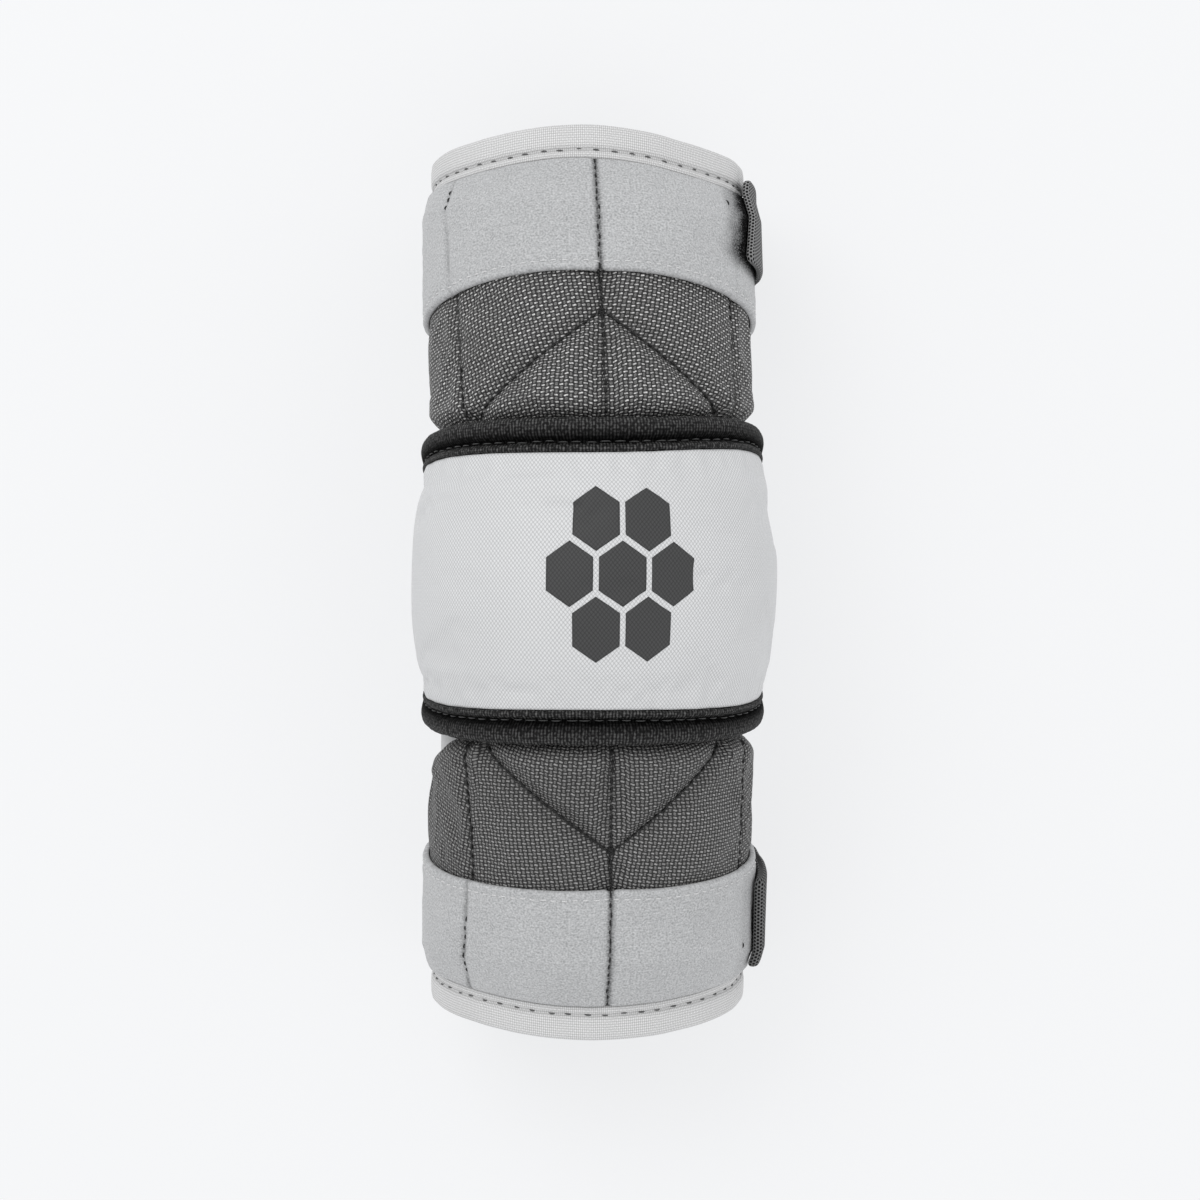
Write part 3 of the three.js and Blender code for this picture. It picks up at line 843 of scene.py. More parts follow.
@dataclass(frozen=True)
class KnitLiner(Finish):
    """Pale brushed knit."""

    light: float = 0.62

    def dress(self, graph: Graph, shader: bpy.types.Node) -> None:
        """Fine ribs of knit under a soft nap.

        Args:
            graph: the material's tree.
            shader: its Principled BSDF.
        """
        cloth = self.cloth(graph)
        knit = graph.effect(Effect.RIBS, cloth, Pitch=0.0011, Fine=0.0007)
        pile = graph.effect(Effect.NAP, cloth, Scale=1300.0)
        colour = graph.blend(knit["Groove"], grey(self.light, -0.006), grey(self.light * 0.74, -0.006))
        colour = graph.blend(graph.span(pile["Mottle"], 0.4, 0.7, 0.0, 0.25), colour, grey(0.8))
        colour = self.soiled(graph, colour, 22.0, 0.08)
        relief = graph.times(knit["Height"], 0.7), graph.times(pile["Height"], 0.3)
        self.surface(graph, shader, colour, 0.93, graph.plus(*relief), 0.0002, Sheen_Weight=0.2)


@dataclass(frozen=True)
class HookTape(Finish):
    """Black tape with rows of tiny hooks."""

    def dress(self, graph: Graph, shader: bpy.types.Node) -> None:
        """Small glossy knobs on a dark ground.

        Args:
            graph: the material's tree.
            shader: its Principled BSDF.
        """
        cells = graph.node("ShaderNodeTexVoronoi", {"Vector": self.cloth(graph), "Scale": 1400.0,
                                                    "Randomness": 0.3}).outputs["Distance"]
        colour = graph.blend(graph.span(cells, 0.45, 0.1), grey(0.008), grey(0.045))
        self.surface(graph, shader, colour, 0.5, graph.span(cells, 0.5, 0.1), 0.0004)


@dataclass(frozen=True)
class Yarn(Finish):
    """Sewing thread, with a twist along it."""

    light: float = 0.01

    def dress(self, graph: Graph, shader: bpy.types.Node) -> None:
        """Slanting plies.

        Args:
            graph: the material's tree.
            shader: its Principled BSDF.
        """
        parts = graph.parts(self.cloth(graph))
        slanted = graph.times(parts[0], 9000.0), graph.times(parts[1], 1000.0)
        ply = graph.ridges(graph.plus(*slanted))
        colour = graph.blend(ply, grey(self.light * 0.5), grey(self.light * 1.3))
        self.surface(graph, shader, colour, 0.6, ply, 0.00006)


@dataclass(frozen=True)
class Ink(Finish):
    """Thick dark print on the cap's cloth."""

    def dress(self, graph: Graph, shader: bpy.types.Node) -> None:
        """The cloth's weave shows faintly through the print.

        Args:
            graph: the material's tree.
            shader: its Principled BSDF.
        """
        woven = self.twill(graph)
        colour = graph.blend(woven["Gap"], grey(0.05, -0.01), grey(0.026, -0.01))
        self.surface(graph, shader, colour, 0.6, woven["Height"], 0.00005)


# The forearm's mesh is a copy of the same cloth with weaker painted highlights, as painted shade on its less
# lit pad.
MESH_UPPER = BasketWeave("mesh_upper")
MESH_LOWER = BasketWeave("mesh_lower", yarn=0.185, painted_highlight=0.4)
TWILL = CoatedTwill("cap_cloth")
LOOP_PILE = BrushedLoop("loop_pile")
ELASTIC = RibbedElastic("black_elastic")
TAPE = WovenTape("rim_tape")
SPACER = SpacerMesh("tab_mesh", light=0.3)
DARK_SPACER = SpacerMesh("dark_tab_mesh", light=0.18)
KNIT = KnitLiner("liner_knit")
HOOKS = HookTape("hook_tape")
BLACK_YARN = Yarn("black_yarn", light=0.006)
GREY_YARN = Yarn("grey_yarn", light=0.1)
PALE_YARN = Yarn("pale_yarn", light=0.72)
SOFT_BLACK_YARN = Yarn("soft_black_yarn", light=0.06)
INK = Ink("dark_print")


# The arm's shape


@dataclass(frozen=True)
class Leg:
    """One leg of the sleeve: where its rim, pad, seams, band and strap lie.

    Its rim, band and strap are given as shares of half the sleeve.
    """

    name: str
    pad: str
    end: int  # 1 towards the upper arm, -1 towards the forearm
    rim: tuple[float, ...]  # at the arm's rim angles
    band_end: float
    band_side: float  # width of the band at the side, as a share of its width at the front
    strap_tab: float
    strap_back: float
    corner_left: float  # how far the pad's corners are cut back, in pad thicknesses
    corner_right: float
    seams_at_cap: tuple[float, float, float]  # angles of the left, middle and right seams
    seams_at_rim: tuple[float, float, float]
    left_bow: float  # of the left seam, in degrees
    reach_left: float  # of the slanting seams, in degrees
    reach_right: float
    tab_tips: tuple[float, float]  # angles of the tab's free end, on its elbow side and its rim side
    mesh: BasketWeave

    def rim_end(self, angle: Array, easing: int = 7) -> Array:
        """The rim's distance from the elbow: a line through the leg's rim shares, rounded over 24 degrees.

        Args:
            angle: places round it.
            easing: how many places the line is averaged over.

        Returns:
            The distance.
        """
        turned = np.where(angle > 180.0, angle - 360.0, angle)
        near = [np.clip(turned + shift, -180.0, 180.0) for shift in np.linspace(-12.0, 12.0, easing)]
        return ARM.half_length * sum(np.interp(at, ARM.rim_angles, self.rim) for at in near) / easing

    def tape_edge(self, angle: Array) -> Array:
        """Where the rim's tape starts."""
        return self.rim_end(angle) - ARM.tape_cover

    def band_top(self, angle: Array) -> Array:
        """The band's edge at the rim's tape."""
        return self.tape_edge(angle) - ARM.gap

    def band_low(self, angle: Array) -> Array:
        """The band's edge towards the elbow."""
        width = ARM.band_width * mix(1.0, self.band_side, ARM.side(angle))
        return ARM.half_length * self.band_end - width

    def pad_end(self, angle: Array) -> Array:
        """A pad's end beside the cap's binding, with rounded corners.

        Args:
            angle: places round it.

        Returns:
            Its distance from the elbow.
        """
        corner = ARM.pad_front * np.where(angle < 7.0, self.corner_left, self.corner_right)
        turn = unit((np.abs(angle) - 50.0) / 54.0)
        start = ARM.cap_end(angle, self.end) + ARM.roll_width + 2.0 * ARM.gap
        return start + corner * (1.0 - np.sqrt(1.0 - turn * turn))

    def seam_turn(self, side: int, s: Array) -> Array:
        """Angle of the left (-1), middle (0) or right (1) seam at s, from the cap to the rim.

        Args:
            side: which seam.
            s: places along it.

        Returns:
            The angle, in degrees.
        """
        share = (s - 40.0) / (ARM.half_length - 40.0)
        bow = self.left_bow * np.sin(math.pi * unit(share)) if side < 0 else 0.0
        return mix(self.seams_at_cap[side + 1], self.seams_at_rim[side + 1], share) + bow

    def chevron(self, angle: Array) -> Array:
        """The slanting seams, which meet at the chevron's point on the middle seam.

        Args:
            angle: places round it.

        Returns:
            Their distance from the elbow.
        """
        point = self.seam_turn(0, np.array(75.0))
        reach = np.where(angle < point, self.reach_left, self.reach_right)
        return self.pad_end(angle) + ARM.chevron_height * (1.0 - np.abs(angle - point) / reach)

    def seam_distance(self, s: Array, angle: Array, sides: tuple[int, ...] = (-1, 0, 1)) -> Array:
        """Distance on the pad to the nearest slanting seam or seam of those sides.

        Args:
            s, angle: places on it.
            sides: which seams along the leg count.

        Returns:
            The distance.
        """
        turns = [self.seam_turn(side, s) for side in sides]
        beside = [np.abs(np.radians(angle - turn)) * ARM.mean_radius for turn in turns]
        slope = ARM.chevron_height / (math.radians(self.reach_left) * ARM.mean_radius)
        slanting = self.chevron(angle)
        slant = np.abs(s - slanting) / math.hypot(1.0, slope)
        inside = slanting > self.pad_end(angle)
        return np.minimum.reduce([*beside, np.where(inside, slant, FAR)])

    def pad_thickness(self, s: Array, angle: Array, seam_share: float = 1.0) -> Array:
        """A pad's thickness: full at the front, thin at its edges and rim, pressed in at its seams.

        Args:
            s, angle: places on it.
            seam_share: how much of the seams' depth shows.

        Returns:
            The thickness.
        """
        across = np.maximum(0.0, np.cos(np.radians(angle))) ** 1.2
        full = mix(ARM.pad_side, ARM.pad_front - ARM.pillow_rise, across)
        edge = np.maximum(0.28, quarter((ARM.pad_reach - np.abs(angle)) / 12.0))
        end = np.maximum(0.12, quarter((s - self.pad_end(angle)) / 6.0))
        length = mix(18.0, 8.0, ARM.side(angle))
        taper = unit((s - (self.band_top(angle) - length)) / length)
        thick = mix(full * edge * end, np.minimum(full * edge, ARM.pad_rim), taper)
        distance = self.seam_distance(s, angle, (0,))
        any_distance = self.seam_distance(s, angle)
        deep = np.maximum(bell(distance, 3.2), 0.4 * bell(any_distance, 2.2))
        pressed = np.minimum(2.2, thick / 2.0) * deep
        pillow = ARM.pillow_rise * across * (1.0 - taper) * end * (1.0 - bell(distance, 9.0))
        return thick - seam_share * pressed + pillow

    def under_band(self, s: Array, angle: Array) -> Array:
        """Offset of the outside of what lies under a band: the pad, then the bare liner past its edge.

        Args:
            s, angle: places on it.

        Returns:
            The offset.
        """
        held = np.clip(angle, -ARM.pad_reach, ARM.pad_reach)
        past = unit((ARM.pad_reach + 6.0 - np.abs(angle)) / 6.0)
        return past * (ARM.gap + self.pad_thickness(s, held, 0.4))

    def under_strap(self, s: Array, angle: Array) -> Array:
        """Offset of the inside of a strap, which climbs over the band and the hook patch on the right.

        Args:
            s, angle: places on it.

        Returns:
            The offset.
        """
        turned = np.where(angle > 180.0, angle - 360.0, angle)
        band = unit((ARM.band_right + 14.0 - angle) / 12.0) * (ARM.gap + ARM.band_wall)
        patch = unit((ARM.patch_to + 14.0 - angle) / 12.0) * (ARM.gap + ARM.patch_wall)
        return self.under_band(s, turned) + np.where(angle > 180.0, 0.0, band + patch) + ARM.gap

    def strap_middle(self, angle: Array) -> Array:
        """Line that the strap, its patch and its tab are centred on."""
        return ARM.half_length * mix(self.strap_tab, self.strap_back, unit((angle - ARM.strap_from) / 39.0))


UPPER = Leg(
    "upper", "upper_arm_pad", end=1, rim=(1, 1.005, 0.972, 0.978, 0.958, 0.993, 1), band_end=0.961,
    band_side=1.03, strap_tab=0.825, strap_back=0.765, corner_left=2.4, corner_right=2.0,
    seams_at_cap=(-47.0, 4.6, 58.0), seams_at_rim=(-55.0, 2.4, 54.0), left_bow=0.0, reach_left=49.0,
    reach_right=48.0, tab_tips=(61.5, 71.0), mesh=MESH_UPPER)
FOREARM = Leg(
    "forearm", "forearm_pad", end=-1, rim=(1, 0.996, 0.971, 0.979, 0.979, 0.996, 1), band_end=0.955,
    band_side=0.92, strap_tab=0.787, strap_back=0.765, corner_left=5.5, corner_right=2.0,
    seams_at_cap=(-48.5, 6.6, 66.0), seams_at_rim=(-48.0, 7.2, 62.0), left_bow=6.5, reach_left=48.0,
    reach_right=46.0, tab_tips=(70.0, 72.0), mesh=MESH_LOWER)


@dataclass(frozen=True)
class Arm:
    """The bent sleeve that all pieces are fitted on, with the same sizes as the CAD model."""

    half_length: float = 143.0
    half_width: float = 50.0
    half_depth: float = 42.0
    mean_radius: float = 46.0
    outer_radius: float = 58.0  # of the arc that the tabs and the print lie on
    bend: float = math.radians(16.0)
    bent_half: float = 45.0  # half length of the bent part
    sway: float = 2.3  # of both ends to the left
    rest_flattening: float = 3.6
    gap: float = 0.4  # between two layers
    tape_wall: float = 1.8
    tape_cover: float = 10.5
    rim_angles: tuple[float, ...] = (-180, -90, -45, 0, 45, 90, 180)
    pad_front: float = 9.0
    pad_side: float = 2.5
    pad_rim: float = 1.4
    pad_reach: float = 100.0
    pillow_rise: float = 1.2
    chevron_height: float = 35.0
    roll_width: float = 8.6  # of the cap's binding
    cap_middle: float = 61.0  # length of the cap at the front
    cap_sides: float = 71.0  # and at its sides
    cap_lift: float = 3.5
    band_width: float = 50.0
    band_wall: float = 2.0
    band_left: float = 97.0
    band_right: float = 146.0
    strap_wall: float = 1.6
    strap_from: float = 107.0  # the strap's, patch's and band's ends are angles
    strap_to: float = 261.0
    patch_from: float = 104.0
    patch_to: float = 141.0
    patch_wall: float = 1.0

    def axis(self, s: Array) -> tuple[Array, Array, Array, Array]:
        """The axis: an arc at the elbow, then a straight leaning leg.

        Args:
            s: places along it.

        Returns:
            How far it lies across, along and below the elbow, and its lean.
        """
        radius = self.bent_half / self.bend
        bent = np.minimum(np.abs(s), self.bent_half)
        straight = np.abs(s) - bent
        lean = bent / self.bent_half * self.bend
        share = unit(np.abs(s) / self.half_length)
        across = -self.sway * share * share * (3.0 - 2.0 * share)
        along = np.sign(s) * (radius * np.sin(lean) + straight * np.cos(lean))
        drop = radius * (1.0 - np.cos(lean)) + straight * np.sin(lean)
        return across, along, drop, np.sign(s) * lean

    def elbow_height(self) -> float:
        """Height of the axis at the elbow, with the backs of both rims pressed flat on the floor.

        Returns:
            The height.
        """
        lowest = []
        for leg in (UPPER, FOREARM):
            _, _, drop, lean = self.axis(leg.rim_end(np.array(180.0), 3))
            lowest.append(-drop - (self.half_depth + self.gap + self.tape_wall) * math.cos(float(lean)))
        return -float(min(lowest)) - self.rest_flattening

    def place(self, s: Array, angle: Array, offset: Array) -> Array:
        """Points at s along the axis, an angle round it and an offset outside the liner.

        The section is an ellipse that grows with the offset and leans with the axis. Where its back is
        pressed flat, each layer keeps its own height above the floor.

        Args:
            s, angle, offset: places on the arm.

        Returns:
            (..., 3) points.
        """
        s, angle, offset = np.broadcast_arrays(s, angle, offset)
        across, along, drop, lean = self.axis(s)
        turned = np.radians(angle)
        rise = (self.half_depth + offset) * np.cos(turned)
        x = across + (self.half_width + offset) * np.sin(turned)
        z = self.elbow_height() - drop + rise * np.cos(lean)
        lowest = np.maximum(self.gap + self.tape_wall - offset, 0.0)
        return np.stack([x, along + rise * np.sin(lean), np.maximum(z, lowest)], axis=-1)

    def line(self, s: Array, angle: Array, offset: Array) -> tuple[Array, Array]:
        """A line on the arm, and the unit directions away from the axis along it.

        Args:
            s, angle, offset: places along the line.

        Returns:
            (n, 3) points and (n, 3) directions.
        """
        here, above = self.place(s, angle, offset), self.place(s, angle, offset + 1.0)
        return here, directions(above - here)

    def arc(self, angle: Array, offset: float = 6.0) -> Array:
        """Length round the arm from the front."""
        return np.radians(angle) * (self.mean_radius + offset)

    def side(self, angle: Array) -> Array:
        """Share of the way from the front to the side."""
        return np.where(np.abs(angle) < 90.0, np.sin(np.radians(angle)) ** 2, 1.0)

    def cap_end(self, angle: Array, end: int) -> Array:
        """The cap's edge: further out at the sides, and most on the right towards the upper arm."""
        lift = np.where(angle > 0.0, self.cap_lift * self.side(angle), 0.0) if end > 0 else 0.0
        return mix(self.cap_middle, self.cap_sides, self.side(angle)) / 2.0 + lift


ARM = Arm()


def rounded_wall(across: Array, length: Array, wall: float, edge: float) -> Array:
    """A wall's height that is rounded off at both ends of a length."""
    near = np.minimum(across, length - across)
    return wall * (0.35 + 0.65 * quarter(near / edge))


def dressed(piece: bpy.types.Object, slot: str, *nodes: str) -> bpy.types.Object:
    """Rides a piece on the body and hides the CAD nodes that it stands for.

    Args:
        piece: the finished object.
        slot: its material slot; not used.
        nodes: the CAD nodes that it stands for.

    Returns:
        The same object.
    """
    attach(piece, "root")
    if nodes:
        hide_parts(*nodes)
    log.info("%s: %d faces", piece.name, len(piece.data.polygons))
    return piece


def crowded(count: int) -> Array:
    """A column of shares from 0 to 1, closer together at both ends."""
    return (0.5 - 0.5 * np.cos(np.linspace(0.0, math.pi, count)))[:, None]


# Sub-assemblies


@dataclass(frozen=True)
class Liner:
    """The open sleeve inside the pad, with soft creases behind the elbow."""

    wall: float = 2.5
    rows: int = 120
    columns: int = 220
    crease: float = 0.9

    def build(self) -> None:
        """A wall of one thickness from rim to rim.

        Its offset falls by rounded creases that run across the back, most at the elbow, and by a small
        uneven field.
        """
        angle = np.linspace(-180.0, 180.0, self.columns, endpoint=False)[:, None]
        share = np.linspace(-1.0, 1.0, self.rows)[None, :]
        low, high = FOREARM.rim_end(angle), UPPER.rim_end(angle)
        s = np.where(share < 0.0, share * low, share * high)
        back = ease((np.abs(angle) - 95.0) / 50.0) * bell(s, 42.0)
        wave = np.sin(s / 2.6 + 0.9 * np.sin(np.radians(2.0 * angle)) + 0.4 * np.sin(s / 7.0))
        outer = -self.crease * back * (0.5 + 0.5 * wave) ** 1.5
        outer = outer - 0.12 * (1.0 + ripple(s, ARM.arc(angle), 26.0, 3))
        outer = np.where(np.abs(s) > 118.0, 0.0, outer)
        outside = ARM.place(s, angle, outer)
        inside = ARM.place(s, angle, outer - self.wall)
        points = np.concatenate([outside, inside[:, ::-1]], axis=1)
        along = ARM.arc(np.linspace(-180.0, 180.0, self.columns + 1), 0.0)
        run = travelled(points[0])
        around = np.append(run, run[-1] + self.wall)
        made = ring(points, along, around).piece("liner_fabric", KNIT)
        dressed(made, "liner", "liner_sleeve")


@dataclass(frozen=True)
class LegPiece:
    """Something fitted on one leg, where s runs from the elbow towards the leg's rim."""

    leg: Leg

    def put(self, s: Array, angle: Array, offset: Array) -> Array:
        """Points on this leg."""
        return ARM.place(self.leg.end * s, angle, offset)

    def sewn(self, thread: Thread, s: Array, angle: Array, offset: Array) -> Skin:
        """Stitches along a line on this leg."""
        return thread.along(*ARM.line(self.leg.end * s, angle, offset))


@dataclass(frozen=True)
class QuiltedPad(LegPiece):
    """A foam pad under basket-weave mesh, with its sewn channels."""

    columns: int = 250
    turns: tuple[float, ...] = (5.0, -8.0, 2.0, -2.0, 8.0, -5.0)  # of the cloth in each panel, in degrees

    def outside(self, s: Array, angle: Array) -> Array:
        """Offset of the pad's outside, a little uneven between its seams.

        Args:
            s, angle: places on the leg.

        Returns:
            The offset.
        """
        thick = self.leg.pad_thickness(s, angle)
        distance = self.leg.seam_distance(s, angle)
        swell = 0.35 * ripple(s, ARM.arc(angle), 24.0, 11 + self.leg.end) * (1.0 - bell(distance, 6.0))
        pucker = 0.22 * np.sin(2.0 * math.pi * s / 3.4) * bell(distance, 2.2)
        full = unit((thick - 1.0) / 4.0)
        return ARM.gap + thick + (swell + pucker) * full - 0.35 * bell(distance, 0.9) * full

    def panel_turn(self, s: Array, angle: Array) -> Array:
        """The cloth's turn in the panel of each point, in degrees.

        Args:
            s, angle: places on the leg.

        Returns:
            The turn.
        """
        left, middle, far = (self.leg.seam_turn(side, s) for side in (-1, 0, 1))
        below = s < self.leg.chevron(angle)
        right = angle > middle
        inner_right = right & (angle < far)
        choices = [angle < left, ~right & ~below, ~right & below, inner_right & below, inner_right]
        return np.select(choices, self.turns[:5], self.turns[5]) * self.leg.end

    def start(self, angle: Array) -> Array:
        """The mesh's end beside the cap; its left corner is cut back further on the forearm.

        Args:
            angle: places round the leg.

        Returns:
            Its distance from the elbow.
        """
        spare = np.where(angle < 0.0, 24.0, 12.0) if self.leg is FOREARM else 0.0
        turn = np.where(angle < 0.0, unit((-angle - 44.0) / 50.0), unit((angle - 56.0) / 42.0))
        return self.leg.pad_end(angle) + spare * (1.0 - np.sqrt(1.0 - turn * turn))

    def spread(self, rows: Array, columns: Array) -> tuple[Array, Array]:
        """s and angle on the grid of row and column shares.

        Args:
            rows, columns: shares from 0 to 1.

        Returns:
            Both, as (rows, columns).
        """
        angle = ARM.pad_reach * (2.0 * columns[None, :] - 1.0)
        start, top = self.start(angle), self.leg.band_top(angle)
        s = start + rows[:, None] * (top - start)
        return s, np.broadcast_to(angle, s.shape)

    def outer(self, s: Array, angle: Array) -> Array:
        """Points of the outside before it is stuffed.

        Args:
            s, angle: places on the leg.

        Returns:
            (..., 3) points.
        """
        cut = np.maximum(0.3, quarter((s - self.start(angle)) / 6.0))
        shown = ARM.gap + (self.outside(s, angle) - ARM.gap) * np.where(np.abs(angle) > 44.0, cut, 1.0)
        return self.put(s, angle, shown)

    def swelling(self) -> Swelling:
        """The stuffed pad, held at its seams, its edges and under the band.

        Returns:
            How far its outside moves.
        """
        s, angle = self.spread(np.linspace(0.0, 1.0, 34), np.linspace(0.0, 1.0, 72))
        from_seam = self.leg.seam_distance(s, angle)
        free = ease((from_seam - 1.2) / 2.0) * ease((s - self.start(angle) - 1.0) / 4.0)
        free = free * ease((self.leg.band_low(angle) - 1.0 - s) / 4.0)
        free = free * ease((ARM.pad_reach - 3.0 - np.abs(angle)) / 6.0)
        return Stuffing().swell(self.outer(s, angle), self.put(s, angle, ARM.gap), free)

    def build(self) -> None:
        """The pad and its stitches."""
        rounding = 0.07 * (1.0 - np.cos(np.linspace(0.0, math.pi / 2.0, 12, endpoint=False)))
        rows = np.concatenate([rounding, np.linspace(0.07, 0.6, 82), np.linspace(0.62, 1.0, 18)])
        columns = np.linspace(0.0, 1.0, self.columns)
        s, angle = self.spread(rows, columns)
        turn = np.radians(self.panel_turn(s, angle))
        steps = np.linalg.norm(np.diff(self.outer(s, angle), axis=0), axis=-1)
        u, v = ARM.arc(angle), s[-1:] - np.pad(np.cumsum(steps[::-1], axis=0)[::-1], ((0, 1), (0, 0)))
        cloth = np.stack([u * np.cos(turn) - v * np.sin(turn), u * np.sin(turn) + v * np.cos(turn)], axis=-1)
        moved = self.swelling().at(rows[:, None] + 0.0 * s, columns[None, :] + 0.0 * s)
        middle = self.leg.seam_distance(s, angle, (0,))
        marked = self.leg.seam_distance(s, angle, (-1, 0) if self.leg is UPPER else (-1, 0, 1))
        marks = {"seam": np.maximum(bell(middle, 0.6), 0.8 * bell(marked, 0.5))}
        body = slab(self.outer(s, angle) + moved, self.put(s, angle, ARM.gap), cloth, marks)
        pad = body.piece(f"{self.leg.pad}_quilted", self.leg.mesh)
        dressed(pad, "mesh_panel", self.leg.pad)
        dressed(self.stitches().piece(f"{self.leg.pad}_stitches", BLACK_YARN), "mesh_panel")

    def stitches(self) -> Skin:
        """Rows of thread in the channels: three along the arm and the chevron's two arms.

        Returns:
            The skin of all the rows.
        """
        rows = []
        for number, side in enumerate((-1, 0, 1)):
            turn = self.leg.seam_turn(side, np.array(60.0))
            low = self.start(turn) + 1.5
            s = mix(low, self.leg.band_low(turn) - 0.5, np.linspace(0.0, 1.0, 160))
            if self.leg is UPPER and side:  # its side seams show thread only near the cap or the band
                s = s[:70] if side < 0 else s[130:]
            rows.append(self.channel(s, self.leg.seam_turn(side, s), 21 + number))
        point = float(self.leg.seam_turn(0, np.array(75.0)))
        for number, reach in enumerate((-self.leg.reach_left, self.leg.reach_right)):
            angle = point + reach * np.linspace(0.03, 0.95, 160)
            rows.append(self.channel(self.leg.chevron(angle), angle, 31 + number))
        rows.append(self.knot(point))
        return joined(rows)

    def knot(self, point: float) -> Skin:
        """Thread sewn over itself where the slanting seams meet, along a small star.

        Args:
            point: the angle at which the seams meet.

        Returns:
            The skin.
        """
        turn = np.linspace(0.0, 4.0 * math.pi, 60)
        size = 0.9 * np.cos(1.5 * turn)
        s = self.leg.chevron(np.array(point)) - 0.6 + size * np.sin(turn)
        angle = point + np.degrees(size * np.cos(turn) / ARM.mean_radius)
        thread = Thread(1.5, 1.7, 0.42, lift=0.6, sink=0.1, seed=39)
        return self.sewn(thread, s, angle, self.outside(s, angle))

    def channel(self, s: Array, angle: Array, seed: int) -> Skin:
        """One row of thread on the pad."""
        thread = Thread(3.1, 2.5, 0.42, lift=0.5, sink=0.35, wander=0.1, seed=seed + self.leg.end)
        return self.sewn(thread, s, angle, self.outside(s, angle))


